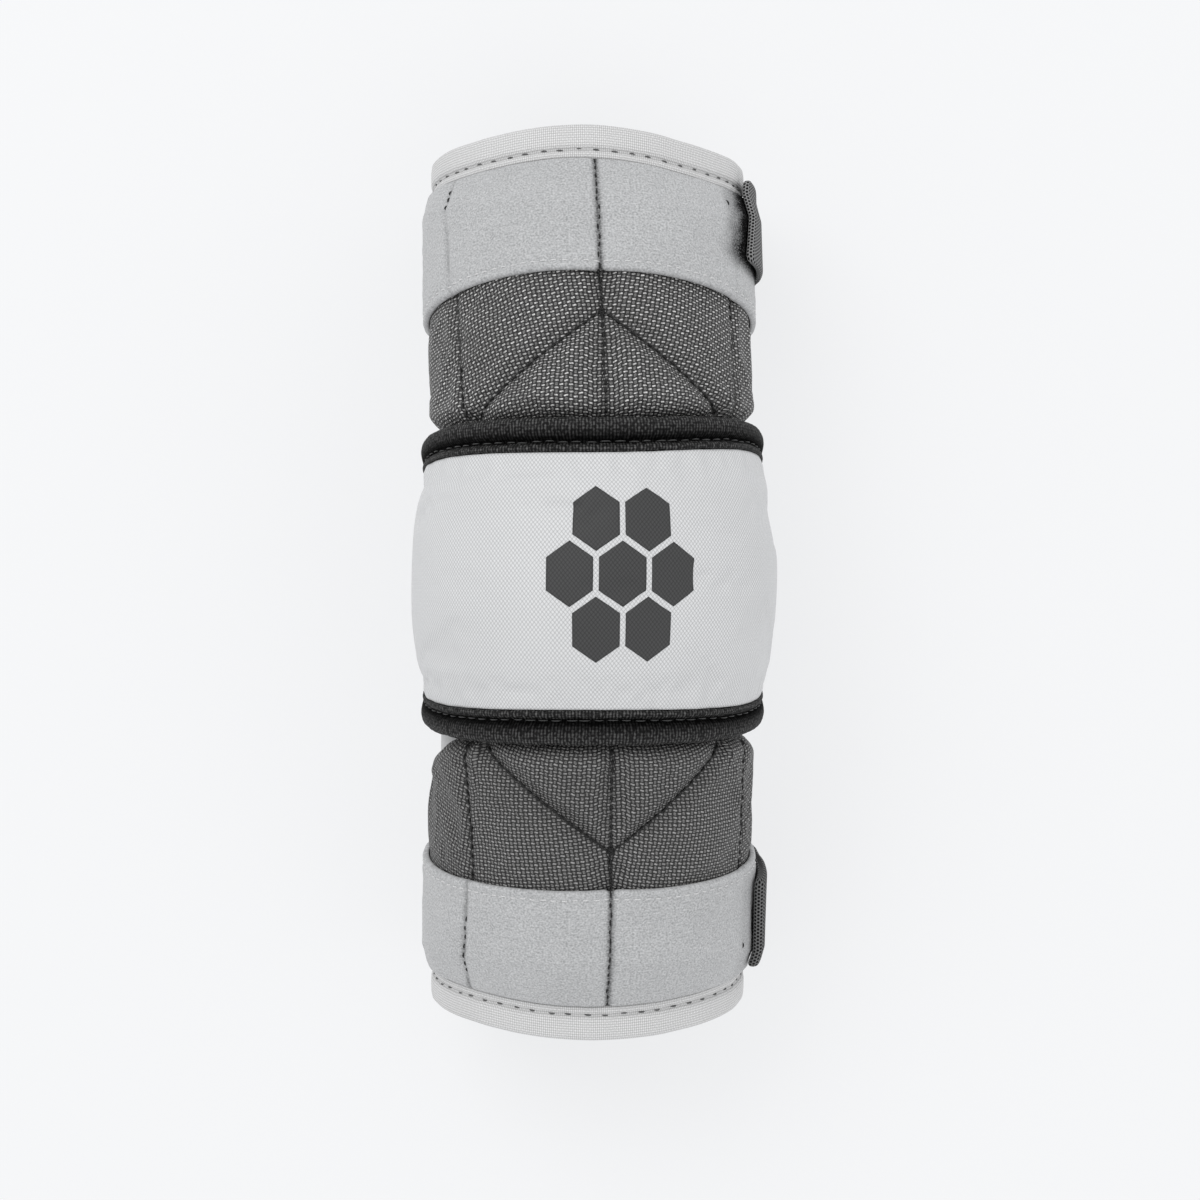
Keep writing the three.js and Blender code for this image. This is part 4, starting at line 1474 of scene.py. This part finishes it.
@dataclass(frozen=True)
class LoopBand(LegPiece):
    """A wide band of loop pile round the front of a leg."""

    columns: int = 300
    rows: int = 70
    edge_row: float = 2.9  # from its edge to the row of stitches along it

    def groove(self, s: Array, angle: Array) -> tuple[Array, Array]:
        """How near a seam that shows through the band is, and the row of stitches along its edge.

        Args:
            s, angle: places on the leg.

        Returns:
            The first as a share from 0 to 1, the second as a distance.
        """
        turns = [self.leg.seam_turn(side, s) for side in (-1, 0, 1)]
        beside = [np.abs(np.radians(angle - turn)) * (ARM.mean_radius + 8.0) for turn in turns]
        along = np.abs(s - self.leg.band_low(angle) - self.edge_row)
        shown = [strength * bell(far, 0.85) for strength, far in zip(self.seams_shown(), beside)]
        return np.maximum.reduce(shown), along

    def seams_shown(self) -> tuple[float, float, float]:
        """How much the left, middle and right seams show."""
        return (0.5, 1.0, 0.12) if self.leg is UPPER else (0.7, 1.0, 0.15)

    def outside(self, s: Array, angle: Array) -> Array:
        """Offset of the band's outside: over the pad, pressed at its seams and uneven like soft pile.

        Args:
            s, angle: places on the leg.

        Returns:
            The offset.
        """
        low, top = self.leg.band_low(angle), self.leg.band_top(angle)
        wall = rounded_wall(s - low, top - low, ARM.band_wall, 1.1)
        beside, along = self.groove(s, angle)
        arc = ARM.arc(angle)
        uneven = 0.16 * ripple(s, arc, 13.0, 41 + self.leg.end) + 0.08 * ripple(s, arc, 4.5, 44)
        pressed = 0.75 * beside + 0.42 * bell(along, 0.8)
        return self.leg.under_band(s, angle) + ARM.gap + wall + uneven * unit((s - low) / 3.0) - pressed

    def build(self) -> None:
        """The band and its stitches."""
        angle = np.linspace(-ARM.band_left, ARM.band_right, self.columns)[None, :]
        low, top = self.leg.band_low(angle), self.leg.band_top(angle)
        middle = self.leg.seam_turn(0, low)
        notch = 0.9 * bell(ARM.arc(angle - middle), 1.3)
        rounding = np.array([0.0, 0.004, 0.012])
        share = np.concatenate([rounding, np.linspace(0.024, 0.976, self.rows), 1.0 - rounding[::-1]])
        s = mix(low, top, share[:, None])
        angle = np.broadcast_to(angle, s.shape)
        shown = s + notch * unit(1.0 - (s - low) / 6.0)
        outer = self.outside(s, angle)
        inner = self.leg.under_band(s, angle) + ARM.gap
        beside, _ = self.groove(s, angle)
        fading = 0.35 + 0.65 * unit(ripple(s, ARM.arc(angle), 16.0, 51) + 0.4)
        seam = 0.7 * beside * np.where(np.abs(angle - middle) < 8.0, 1.0, fading)
        cloth = np.stack([ARM.arc(angle), s], axis=-1)
        # The seam mark also carries the pull tab's painted shadow.
        marks = {"seam": np.maximum(seam, self.painted_tab_shadow(s, angle))}
        body = slab(self.put(shown, angle, outer), self.put(shown, angle, inner), cloth, marks)
        band = body.piece(f"{self.leg.name}_loop_band_pile", LOOP_PILE)
        dressed(band, "loop", f"{self.leg.name}_loop_band")
        dressed(self.seam_thread().piece(f"{self.leg.name}_band_seam", BLACK_YARN), "loop")
        dressed(self.edge_thread().piece(f"{self.leg.name}_band_edge_stitches", PALE_YARN), "loop")

    def painted_tab_shadow(self, s: Array, angle: Array) -> Array:
        """Painted shadow of the pull tab on the pile: darkest at its free end, fading over 15 degrees.

        Args:
            s, angle: places on the leg.

        Returns:
            How dark it is, from 0 to 1.
        """
        past = s - self.leg.strap_middle(angle)
        along = ease((21.0 - np.abs(past + 1.5)) / 8.0)
        strength = 1.0 if self.leg is UPPER else 0.2
        tip = mix(*self.leg.tab_tips, 0.5 + past / 32.0)
        front = angle - tip + 0.8 * ripple(s, ARM.arc(angle), 7.0, 55)
        return strength * along * unit((front + 17.0) / 15.0) ** 1.3 * ease((110.0 - angle) / 10.0)

    def seam_thread(self) -> Skin:
        """Dark thread down the centre seam, and the stretches of it that show at the side seams.

        Returns:
            The skin.
        """
        shown = {UPPER: ((-1, 0.7, 0.92, 0.34), (1, 0.78, 0.88, 0.3)),
                 FOREARM: ((-1, 0.28, 0.84, 0.27), (1, 0.62, 0.72, 0.25))}[self.leg]
        rows = []
        for side, start, last, radius in ((0, 0.0, 1.0, 0.3), *shown):
            turn = self.leg.seam_turn(side, np.array(115.0))
            low, top = self.leg.band_low(turn) + 0.5, self.leg.band_top(turn)
            s = mix(low + start * (top - low), low + last * (top - low), np.linspace(0.0, 1.0, 120))
            angle = self.leg.seam_turn(side, s) + 0.4 * ripple(s, 0.0 * s, 12.0, 61)
            thread = Thread(3.1, 2.5, radius, lift=0.3, sink=0.3, wander=0.16, seed=65 + side)
            rows.append(self.sewn(thread, s, angle, self.outside(s, angle)))
        return joined(rows)

    def edge_thread(self) -> Skin:
        """Pale thread along the edge towards the elbow.

        Returns:
            The skin.
        """
        angle = np.linspace(-ARM.band_left + 4.0, ARM.band_right - 30.0, 400)
        s = self.leg.band_low(angle) + self.edge_row
        thread = Thread(3.4, 2.6, 0.27, lift=0.25, sink=0.4, seed=71)
        return self.sewn(thread, s, angle, self.outside(s, angle))


@dataclass(frozen=True)
class StrapSet(LegPiece):
    """The strap round the back of a leg, its hook patch and its pull tab."""

    width: float = 38.0
    patch_width: float = 32.0
    mesh: SpacerMesh = SPACER
    tab_wall: float = 3.5
    tab_width: float = 32.0
    tab_to: float = 120.0
    tab_stand: float = 0.3
    tab_drop: float = 2.0  # how soon it comes down from the strap
    tab_skew: float = 0.0  # of its strap end towards the rim

    def strip(self, angle: Array, width: float, inside: Callable, wall: float, edge: float,
              rows: int) -> Skin:
        """A flat strip round the leg, rounded off at its long edges and its ends.

        Args:
            angle: the columns.
            width: its width.
            inside: a function of s and angle that gives the offset of its inside.
            wall: its thickness.
            edge: the length over which its edges are rounded.
            rows: how many rows it has.

        Returns:
            The skin.
        """
        across = crowded(rows)
        angle = np.broadcast_to(angle[None, :], (rows, len(angle)))
        middle = self.leg.strap_middle(angle)
        s = middle + width * (across - 0.5)
        run = ARM.arc(angle - angle[:, :1])
        height = np.minimum(rounded_wall(width * across, width, wall, edge),
                            rounded_wall(run, run[:, -1:], wall, edge))
        inner = inside(s, angle) + 0.5 * (wall - height) * 0.8
        swell = 0.1 * ripple(s, run, 15.0, 81)
        cloth = np.stack([run, s], axis=-1)
        outside = self.put(s, angle, inner + height + swell)
        return slab(outside, self.put(s, angle, inner), cloth, {"seam": 0.0 * s})

    def tab(self) -> Skin:
        """The tab: a flat pill section carried along its width.

        The section runs along its outside from the strap to the free end, round half a circle, and back
        along its inside. It is thinner near both sides, where the free end's corners are rounded too.

        Returns:
            The skin.
        """
        rows = 60
        share = crowded(rows)
        near = self.tab_width * np.minimum(share, 1.0 - share)
        wall = self.tab_wall * (0.4 + 0.6 * quarter(near / 1.7))
        radius = 0.5 * wall
        cut = radius + 3.0 * (1.0 - quarter(near / 3.0))
        tip = mix(*self.leg.tab_tips, share) + np.degrees(cut / ARM.outer_radius)
        flat = mix(self.tab_to, tip, np.linspace(0.0, 1.0, 60)[None, :])
        bend = np.linspace(0.0, math.pi, 14)[None, 1:-1]
        round_tip = tip - np.degrees(radius * np.sin(bend) / ARM.outer_radius)
        angle = np.concatenate([flat, round_tip, flat[:, ::-1]], axis=1)
        s = self.leg.strap_middle(angle) + self.tab_width * (share - 0.5)
        s = s + self.tab_skew * unit((angle - 66.0) / 30.0)
        lift = np.concatenate([wall + 0.0 * flat, radius * (1.0 + np.cos(bend)), 0.0 * flat], axis=1)
        base = self.tab_inside(s, np.maximum(angle, tip)) + 0.4 * (self.tab_wall - wall)
        points = self.put(s, angle, base + lift)
        corners = points.shape[1]
        index = np.arange(rows * corners).reshape(rows, corners)
        wrapped = np.pad(index, ((0, 0), (0, 1)), mode="wrap")
        half = corners // 2
        ends = []
        for row in (index[0], index[-1][::-1]):
            out, back = row[:half], row[::-1][:half]
            ends.append(np.stack([out[:-1], back[:-1], back[1:], out[1:]], axis=1))
        girth = travelled(np.concatenate([points[rows // 2], points[rows // 2][:1]]))
        places = np.arange(rows * (corners + 1)).reshape(rows, corners + 1)
        cloth = np.stack(np.broadcast_arrays(girth[None, :], self.tab_width * share), axis=-1).reshape(-1, 2)
        end_places = [face + face // corners for face in ends]
        return Skin(points.reshape(-1, 3), np.concatenate([quads(wrapped), *ends]), cloth,
                    np.concatenate([quads(places), *end_places]))

    def over_band(self, s: Array, angle: Array) -> Array:
        """Offset of the inside of what lies on the band."""
        return self.leg.under_band(s, angle) + ARM.band_wall + 2.0 * ARM.gap

    def over_strap(self, s: Array, angle: Array) -> Array:
        """Offset of the tab's inside where it lies on the strap."""
        return self.leg.under_strap(s, angle) + ARM.strap_wall + ARM.gap

    def tab_inside(self, s: Array, angle: Array) -> Array:
        """Offset of the tab's inside: on the strap, then standing a little off the band.

        Args:
            s, angle: places on the leg.

        Returns:
            The offset.
        """
        free = (ARM.strap_from - angle) / (ARM.strap_from - self.leg.tab_tips[0])
        standing = self.over_band(s, angle) + self.tab_stand * free
        at_end = self.over_strap(s, np.full_like(angle, ARM.strap_from))
        off = np.maximum(standing, mix(at_end, standing, unit(self.tab_drop * free)))
        return np.where(angle >= ARM.strap_from, self.over_strap(s, angle), off)

    def build(self) -> None:
        """The strap, the patch, the tab and the stitches that hold the tab."""
        name = self.leg.name
        turns = np.linspace(ARM.strap_from, ARM.strap_to, 190)
        on = self.strip(turns, self.width, self.leg.under_strap, ARM.strap_wall, 1.0, 34)
        strap = dressed(on.piece(f"{name}_strap_pile", LOOP_PILE), "loop", f"{name}_strap")
        turns = np.linspace(ARM.patch_from, ARM.patch_to, 60)
        patch = self.strip(turns, self.patch_width, self.over_band, ARM.patch_wall, 0.5, 20)
        hooks = dressed(patch.piece(f"{name}_hook_patch_rows", HOOKS), "hook", f"{name}_hook_patch")
        tab = dressed(self.tab().piece(f"{name}_pull_tab_mesh", self.mesh), "spacer", f"{name}_pull_tab")
        rows = []
        for number, turn in enumerate((109.5, 117.5)):
            across = np.linspace(-14.5, 14.5, 60)
            angle = np.full(60, turn)
            s = self.leg.strap_middle(angle) + across + self.tab_skew
            thread = Thread(2.6, 2.0, 0.22, lift=0.12, sink=0.4, seed=91 + number)
            rows.append(self.sewn(thread, s, angle, self.over_strap(s, angle) + self.tab_wall))
        dressed(joined(rows).piece(f"{name}_tab_stitches", BLACK_YARN), "spacer")


@dataclass(frozen=True)
class RimBinding(LegPiece):
    """Tape folded round a rim and stitched through."""

    steps: int = 360
    lining: float = -2.9  # offset of its inner leg's face on the liner
    reach: float = 10.3  # of the tape's legs from its edge
    stitch_row: float = 3.2  # from the tape's edge
    puff: float = 0.7

    def height(self, back: Array, angle: Array) -> Array:
        """Offset of the tape's outer leg at a distance from its edge: a lip, a stitched groove, a roll.

        Args:
            back: distance from the tape's edge.
            angle: places round the leg.

        Returns:
            The offset.
        """
        base = ARM.gap + ARM.tape_wall * (0.45 + 0.55 * quarter(back / 0.9))
        roll = self.puff * quarter((back - self.stitch_row) / 3.0)
        roll = roll * quarter((ARM.tape_cover + 1.2 - back) / 4.0)
        wave = 0.12 * np.sin(2.0 * math.pi * ARM.arc(angle) / 5.9) * bell(back - self.stitch_row, 2.0)
        sag = 0.12 * ripple(back, ARM.arc(angle), 12.0, 101)
        return base + roll - 0.55 * bell(back - self.stitch_row, 0.85) + wave + sag * unit(back / 3.0)

    def build(self) -> None:
        """The tape and its stitches.

        Its section runs up the outer leg, round the rim's end on half a circle, and back down the inner
        leg.
        """
        angle = np.linspace(-180.0, 180.0, self.steps, endpoint=False)[:, None]
        edge, end = self.leg.tape_edge(angle), self.leg.rim_end(angle)
        back = np.concatenate([[0.0, 0.15, 0.4, 0.8], np.linspace(1.2, self.reach, 24)])[None, :]
        front = self.height(back, angle)
        turn = np.linspace(0.0, math.pi, 13)[None, 1:-1]
        top, low = front[:, -1:], self.lining - ARM.tape_wall
        bend = (mix(low, top, 0.5 + 0.5 * np.cos(turn)), end + 2.3 * np.sin(turn))
        inner_back = np.linspace(self.reach, 0.0, 14)[None, :]
        inner_leg = (low + 0.0 * (inner_back + angle), edge + inner_back)
        facing = np.linspace(0.0, ARM.tape_cover - 0.2, 10)[None, :]
        on_liner = (self.lining + 0.0 * (facing + angle), edge + facing)
        under_outer = (ARM.gap + 0.0 * (facing + angle), edge + facing[:, ::-1])
        runs = ((front, edge + back), bend, inner_leg, on_liner, under_outer)
        offset, s = (np.concatenate([run[k] for run in runs], axis=1) for k in range(2))
        points = self.put(s, angle, offset)
        along = ARM.arc(np.linspace(-180.0, 180.0, self.steps + 1), 2.0)
        run = travelled(np.stack([s[0], offset[0]], axis=1))
        around = np.append(run, run[-1] + 1.8)
        groove = np.concatenate([bell(back - self.stitch_row, 0.7) + 0.0 * angle,
                                 np.zeros((self.steps, s.shape[1] - back.shape[1]))], axis=1)
        made = ring(points, along, around, {"seam": groove}).piece(f"{self.leg.name}_rim_tape", TAPE)
        dressed(made, "tape", f"{self.leg.name}_rim_binding")
        turned = np.linspace(-180.0, 180.0, 900)
        row = self.leg.tape_edge(turned) + self.stitch_row
        thread = Thread(5.8, 2.8, 0.27, lift=0.3, sink=0.3, wander=0.13, seed=111)
        stitches = self.sewn(thread, row, turned, self.height(np.full(900, self.stitch_row), turned))
        dressed(stitches.piece(f"{self.leg.name}_rim_stitches", GREY_YARN), "tape")


@dataclass(frozen=True)
class Cap:
    """The crowned elbow cap, its plain printed hexagons and its elastic binding."""

    reach: float = 105.0  # to each side, in degrees
    corner: float = 14.0
    front: float = 15.0  # thickness in front and at the side
    side: float = 8.8
    crown: float = 2.4  # power by which it falls towards its binding
    rows: int = 110
    columns: int = 280
    print_cell: float = 7.6  # of a printed hexagon, from its middle to a corner
    print_gap: float = 1.6
    print_s: float = 1.6
    print_angle: float = 8.0
    outline_steps: int = 760
    groove: float = -0.22  # of the binding's stitched groove from its middle, as a share of the roll
    roll: tuple[tuple[float, float], ...] = (  # the elastic's section, outwards and up
        (-0.5, 0.0), (0.0, 0.0), (0.4, 0.0), (0.52, 0.3), (0.52, 0.68), (0.4, 0.95), (0.16, 1.04),
        (-0.06, 0.97), (-0.18, 0.78), (-0.26, 0.79), (-0.36, 0.93), (-0.47, 0.95), (-0.52, 0.8))

    def corner_turn(self) -> float:
        """Where its rounded corners start, in degrees."""
        return self.reach - math.degrees(self.corner / ARM.mean_radius)

    def half(self, angle: Array, end: Array) -> Array:
        """Length of its half towards the upper arm (1) or the forearm (-1).

        Args:
            angle: places round the arm.
            end: 1 or -1.

        Returns:
            The length.
        """
        held = np.clip(angle, -self.corner_turn(), self.corner_turn())
        past = np.maximum(0.0, np.radians(np.abs(angle) - self.corner_turn()) * ARM.mean_radius)
        straight = np.where(end > 0, ARM.cap_end(held, 1), ARM.cap_end(held, -1))
        return straight - self.corner + np.sqrt(np.maximum(0.0, self.corner**2 - past**2))

    def thickness(self, angle: Array) -> Array:
        """Its thickness along the middle.

        Args:
            angle: places round the arm.

        Returns:
            The thickness.
        """
        across = np.maximum(0.0, np.cos(np.radians(angle)))
        last = quarter((self.reach - np.abs(angle)) / 15.0)
        return mix(self.side, self.front, across) * mix(0.6, 1.0, last)

    def edge(self, angle: Array) -> Array:
        """Its thickness at the binding."""
        return self.thickness(angle) * mix(0.7, 0.53, ARM.side(angle))

    def outside(self, s: Array, angle: Array) -> Array:
        """Offset of its outside: crowned along the arm, puckered at its binding.

        Args:
            s, angle: places on the arm.

        Returns:
            The offset.
        """
        share = np.abs(s) / np.maximum(self.half(angle, np.sign(s)), 1.0)
        thick = mix(self.thickness(angle), self.edge(angle), unit(share) ** self.crown)
        inward = np.maximum(0.0, self.half(angle, np.sign(s)) - np.abs(s))
        pucker = 0.16 * ripple(ARM.arc(angle), 0.0 * s, 6.5, 121) * bell(inward, 5.0)
        swell = 0.3 * ripple(s, ARM.arc(angle), 34.0, 122) * unit(inward / 12.0)
        return ARM.gap + thick + pucker + swell

    def build(self) -> None:
        """The cap, its print and its binding."""
        last = self.reach - ARM.gap
        angle = np.sin(np.linspace(-1.0, 1.0, self.columns) * math.pi / 2.0 * 0.96)
        angle = last * angle / math.sin(math.pi * 0.48)
        share = np.linspace(-1.0, 1.0, self.rows)[:, None]
        angle = np.broadcast_to(angle[None, :], (self.rows, self.columns))
        s = share * self.half(angle, np.sign(share) + 0.0 * angle)
        cloth = self.cloth(s, angle)
        swelling = self.swelling()
        outside = ARM.place(s, angle, self.outside(s, angle)) + self.moved(swelling, s, angle)
        body = slab(outside, ARM.place(s, angle, ARM.gap), cloth)
        cap = dressed(body.piece("elbow_cap_padded", TWILL), "cap_twill", "elbow_cap")
        dressed(self.printed(swelling).piece("elbow_cap_print", INK), "cap_twill")
        self.bind()

    def moved(self, swelling: Swelling, s: Array, angle: Array) -> Array:
        """The stuffed cap's movement at s and angle."""
        row = 0.5 + 0.5 * s / np.maximum(self.half(angle, np.sign(s)), 1.0)
        return swelling.at(row + 0.0 * angle, 0.5 + 0.5 * angle / self.reach + 0.0 * s)

    def swelling(self) -> Swelling:
        """The stuffed cap, held along its binding.

        Returns:
            How far its outside moves.
        """
        share, column = np.linspace(-1.0, 1.0, 28)[:, None], np.linspace(-1.0, 1.0, 72)[None, :]
        angle = 0.998 * self.reach * column + 0.0 * share
        s = share * self.half(angle, np.sign(share) + 0.0 * angle)
        inward = self.half(angle, np.sign(s)) - np.abs(s)
        free = ease(inward / 6.0) * ease((self.reach - 2.0 - np.abs(angle)) / 8.0)
        start = ARM.place(s, angle, self.outside(s, angle) - 0.6 * free)
        grown = Stuffing().swell(start, ARM.place(s, angle, ARM.gap), free)
        shift = start - ARM.place(s, angle, self.outside(s, angle))
        return Swelling(grown.moved + 1.0 * shift)

    def cloth(self, s: Array, angle: Array) -> Array:
        """Place on the cap's cloth."""
        return np.stack([ARM.arc(angle, 12.0), s + 0.0 * angle], axis=-1)

    def printed(self, swelling: Swelling) -> Skin:
        """Seven plain hexagons, one in the middle and six round it, as thin skins on the cap.

        Each is a grid of columns between its two upright sides. A column's half height is the cell's radius
        less its distance from the middle times the tangent of 30 degrees.

        Args:
            swelling: the stuffed cap's movement, which the print rides on.

        Returns:
            The skin of all seven.
        """
        skins = []
        inner = self.print_cell * math.cos(math.pi / 6.0)
        spacing = 2.0 * inner + self.print_gap
        x_share = inner * np.linspace(-1.0, 1.0, 19)[None, :]
        y_share = np.linspace(-1.0, 1.0, 21)[:, None]
        middles = [(0.0, 0.0)] + [(spacing * math.cos(t), spacing * math.sin(t)) for t in
                                  np.radians(np.arange(0.0, 360.0, 60.0))]
        for x, y in middles:
            across = x + x_share + 0.0 * y_share
            along = y + y_share * (self.print_cell - np.abs(x_share) * math.tan(math.pi / 6.0))
            angle = self.print_angle + np.degrees(across / ARM.outer_radius)
            s = self.print_s + along
            base, moved = self.outside(s, angle), self.moved(swelling, s, angle)
            top, low = ARM.place(s, angle, base + 0.1) + moved, ARM.place(s, angle, base - 0.06) + moved
            skins.append(slab(top, low, self.cloth(s, angle)))
        return joined(skins)

    def outline(self, count: int) -> tuple[Array, Array, Array, Array]:
        """The cap's outline as a closed path.

        Args:
            count: how many points to give.

        Returns:
            s and angle of each point, and the outward direction along s and along the arc.
        """
        turned = self.corner_turn()
        bends = np.radians(np.linspace(0.0, 90.0, 12))
        parts = []
        for end in (1, -1):
            straight = end * np.linspace(-turned, turned, 220)
            parts.append((end * ARM.cap_end(straight, end), straight, end + 0.0 * straight, 0.0 * straight))
            for far, bend in ((end, bends), (-end, bends[::-1])):
                middle = far * (float(ARM.cap_end(np.array(end * turned), far)) - self.corner)
                out_s, out_arc = far * np.cos(bend), end * np.sin(bend)
                arc = np.radians(end * turned) * ARM.mean_radius + self.corner * out_arc
                turn = np.degrees(arc / ARM.mean_radius)
                parts.append((middle + self.corner * out_s, turn, out_s, out_arc))
        s, angle, out_s, out_arc = (np.concatenate([part[k] for part in parts]) for k in range(4))
        place = np.stack([s, np.radians(angle) * ARM.mean_radius], axis=1)
        run = travelled(np.concatenate([place, place[:1]]))
        even = np.linspace(0.0, run[-1], count, endpoint=False)
        rows = [np.interp(even, run, np.append(row, row[0])) for row in (s, angle, out_s, out_arc)]
        size = np.maximum(np.hypot(rows[2], rows[3]), 1e-6)
        return rows[0], rows[1], rows[2] / size, rows[3] / size

    def bind(self) -> None:
        """The elastic: a fat roll outside, a stitched groove, and a thin lip against the cap."""
        curve = smooth_loop(np.array(self.roll), 48)
        across, height = curve[:, 0][None, :], np.maximum(0.0, curve[:, 1])[None, :]
        s, angle, out_s, out_arc = (row[:, None] for row in self.outline(self.outline_steps))
        run = np.linspace(0.0, 1.0, self.outline_steps)[:, None]
        ripples = 0.05 * ripple(run * 500.0, 0.0 * run, 9.0, 131)
        ripples = ripples + 0.03 * np.sin(run * 500.0 / 3.2 * 2.0 * math.pi)
        out = ARM.gap + ARM.roll_width * (0.5 + across * (1.0 + 0.5 * ripples))
        turned = angle + np.degrees(out * out_arc / ARM.mean_radius)
        tall = self.edge(np.minimum(np.abs(angle), self.reach)) + 0.8
        points = ARM.place(s + out * out_s, turned, 1.5 * ARM.gap + height * (tall + 0.6 * ripples))
        centre = travelled(np.concatenate([points[:, 8], points[:1, 8]]))
        girth = travelled(np.concatenate([points[0], points[0][:1]]))
        # The groove mark paints shade on the elastic: black at its stitched groove, fading out widest
        # towards the roll.
        past = curve[:, 0] - self.groove
        groove = np.where(past > 0.0, bell(past, 0.3), bell(past, 0.06)) * (curve[:, 1] > 0.5)
        marks = {"seam": np.broadcast_to(groove[None, :], points.shape[:2])}
        made = ring(points, centre, girth, marks).piece("elbow_cap_elastic", ELASTIC)
        dressed(made, "cap_elastic", "elbow_cap_binding")
        out = ARM.gap + ARM.roll_width * (0.5 + self.groove)
        turned = angle + np.degrees(out * out_arc / ARM.mean_radius)
        row = [values[:, 0] for values in (s + out * out_s, turned, 1.5 * ARM.gap + 0.79 * tall)]
        line, up = ARM.line(*[np.append(values, values[0]) for values in row])
        stitches = Thread(4.4, 3.2, 0.22, lift=0.35, sink=0.1, wander=0.12, seed=141).along(line, up)
        dressed(stitches.piece("elbow_cap_stitches", SOFT_BLACK_YARN), "cap_elastic")


@dataclass(frozen=True)
class Studio:
    """A pale floor, soft light and the camera above the pad."""

    camera_height: float = 1.074
    lens: float = 91.46
    across: float = 0.00197  # where the camera hangs over the pad
    along: float = -0.0059
    floor: float = 9.0  # half its width
    sky: tuple[float, ...] = (0.985, 0.99, 1.0, 1.0)
    sky_strength: float = 0.81
    floor_glow: float = 0.675

    def build(self) -> None:
        """Floor, lights and camera."""
        scene = bpy.context.scene
        scene.view_settings.view_transform = "Standard"
        lens = bpy.data.cameras.new("camera")
        lens.lens, lens.sensor_width = self.lens, 36.0
        camera = bpy.data.objects.new("camera", lens)
        camera.location = (self.across, self.along, self.camera_height)
        scene.collection.objects.link(camera)
        scene.camera = camera
        floor = bpy.data.meshes.new("floor")
        corners = [(x * self.floor, y * self.floor, 0) for x, y in ((-1, -1), (1, -1), (1, 1), (-1, 1))]
        floor.from_pydata(corners, [], [(0, 1, 2, 3)])
        floor.materials.append(self.paper())
        ground = bpy.data.objects.new("floor", floor)
        scene.collection.objects.link(ground)
        world = bpy.data.worlds.new("studio")
        world.use_nodes = True
        back = world.node_tree.nodes["Background"]
        back.inputs["Color"].default_value = self.sky
        back.inputs["Strength"].default_value = self.sky_strength
        scene.world = world
        self.light("key", (-0.7, 0.9, 1.5), 8.0, 1.1)
        self.light("fill", (1.1, -0.5, 1.5), 3.0, 1.4)

    def paper(self) -> bpy.types.Material:
        """Pale paper, lit a little from below like a light table.

        Returns:
            The material.
        """
        made = bpy.data.materials.new("pale_paper")
        made.use_nodes = True
        shader = made.node_tree.nodes["Principled BSDF"]
        looks = {"Base Color": (0.26, 0.263, 0.267, 1.0), "Roughness": 0.95, "Specular IOR Level": 0.0,
                 "Emission Color": self.sky, "Emission Strength": self.floor_glow}
        for name, value in looks.items():
            shader.inputs[name].default_value = value
        return made

    def light(self, name: str, place: tuple[float, float, float], power: float, size: float) -> None:
        """A square soft light that faces the pad.

        Args:
            name: what it is called.
            place: where it hangs, in metres.
            power: in watts.
            size: its side, in metres.
        """
        lamp = bpy.data.lights.new(name, "AREA")
        lamp.energy, lamp.size = power, size
        made = bpy.data.objects.new(name, lamp)
        made.location = place
        reach = math.hypot(place[0], place[1])
        made.rotation_euler = (0.0, math.atan2(reach, place[2]), math.atan2(place[1], place[0]))
        bpy.context.scene.collection.objects.link(made)


def main() -> None:
    """Builds the sub-assemblies in order."""
    logging.basicConfig(level=logging.INFO, format="%(name)s %(message)s")
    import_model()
    Studio().build()
    Liner().build()
    upper_straps = StrapSet(UPPER, tab_wall=2.5, tab_stand=0.1, tab_drop=4.5, tab_skew=3.0)
    for leg, straps in ((UPPER, upper_straps), (FOREARM, StrapSet(FOREARM, mesh=DARK_SPACER))):
        QuiltedPad(leg).build()
        LoopBand(leg).build()
        straps.build()
        RimBinding(leg).build()
    Cap().build()


if __name__ == "__main__":
    main()
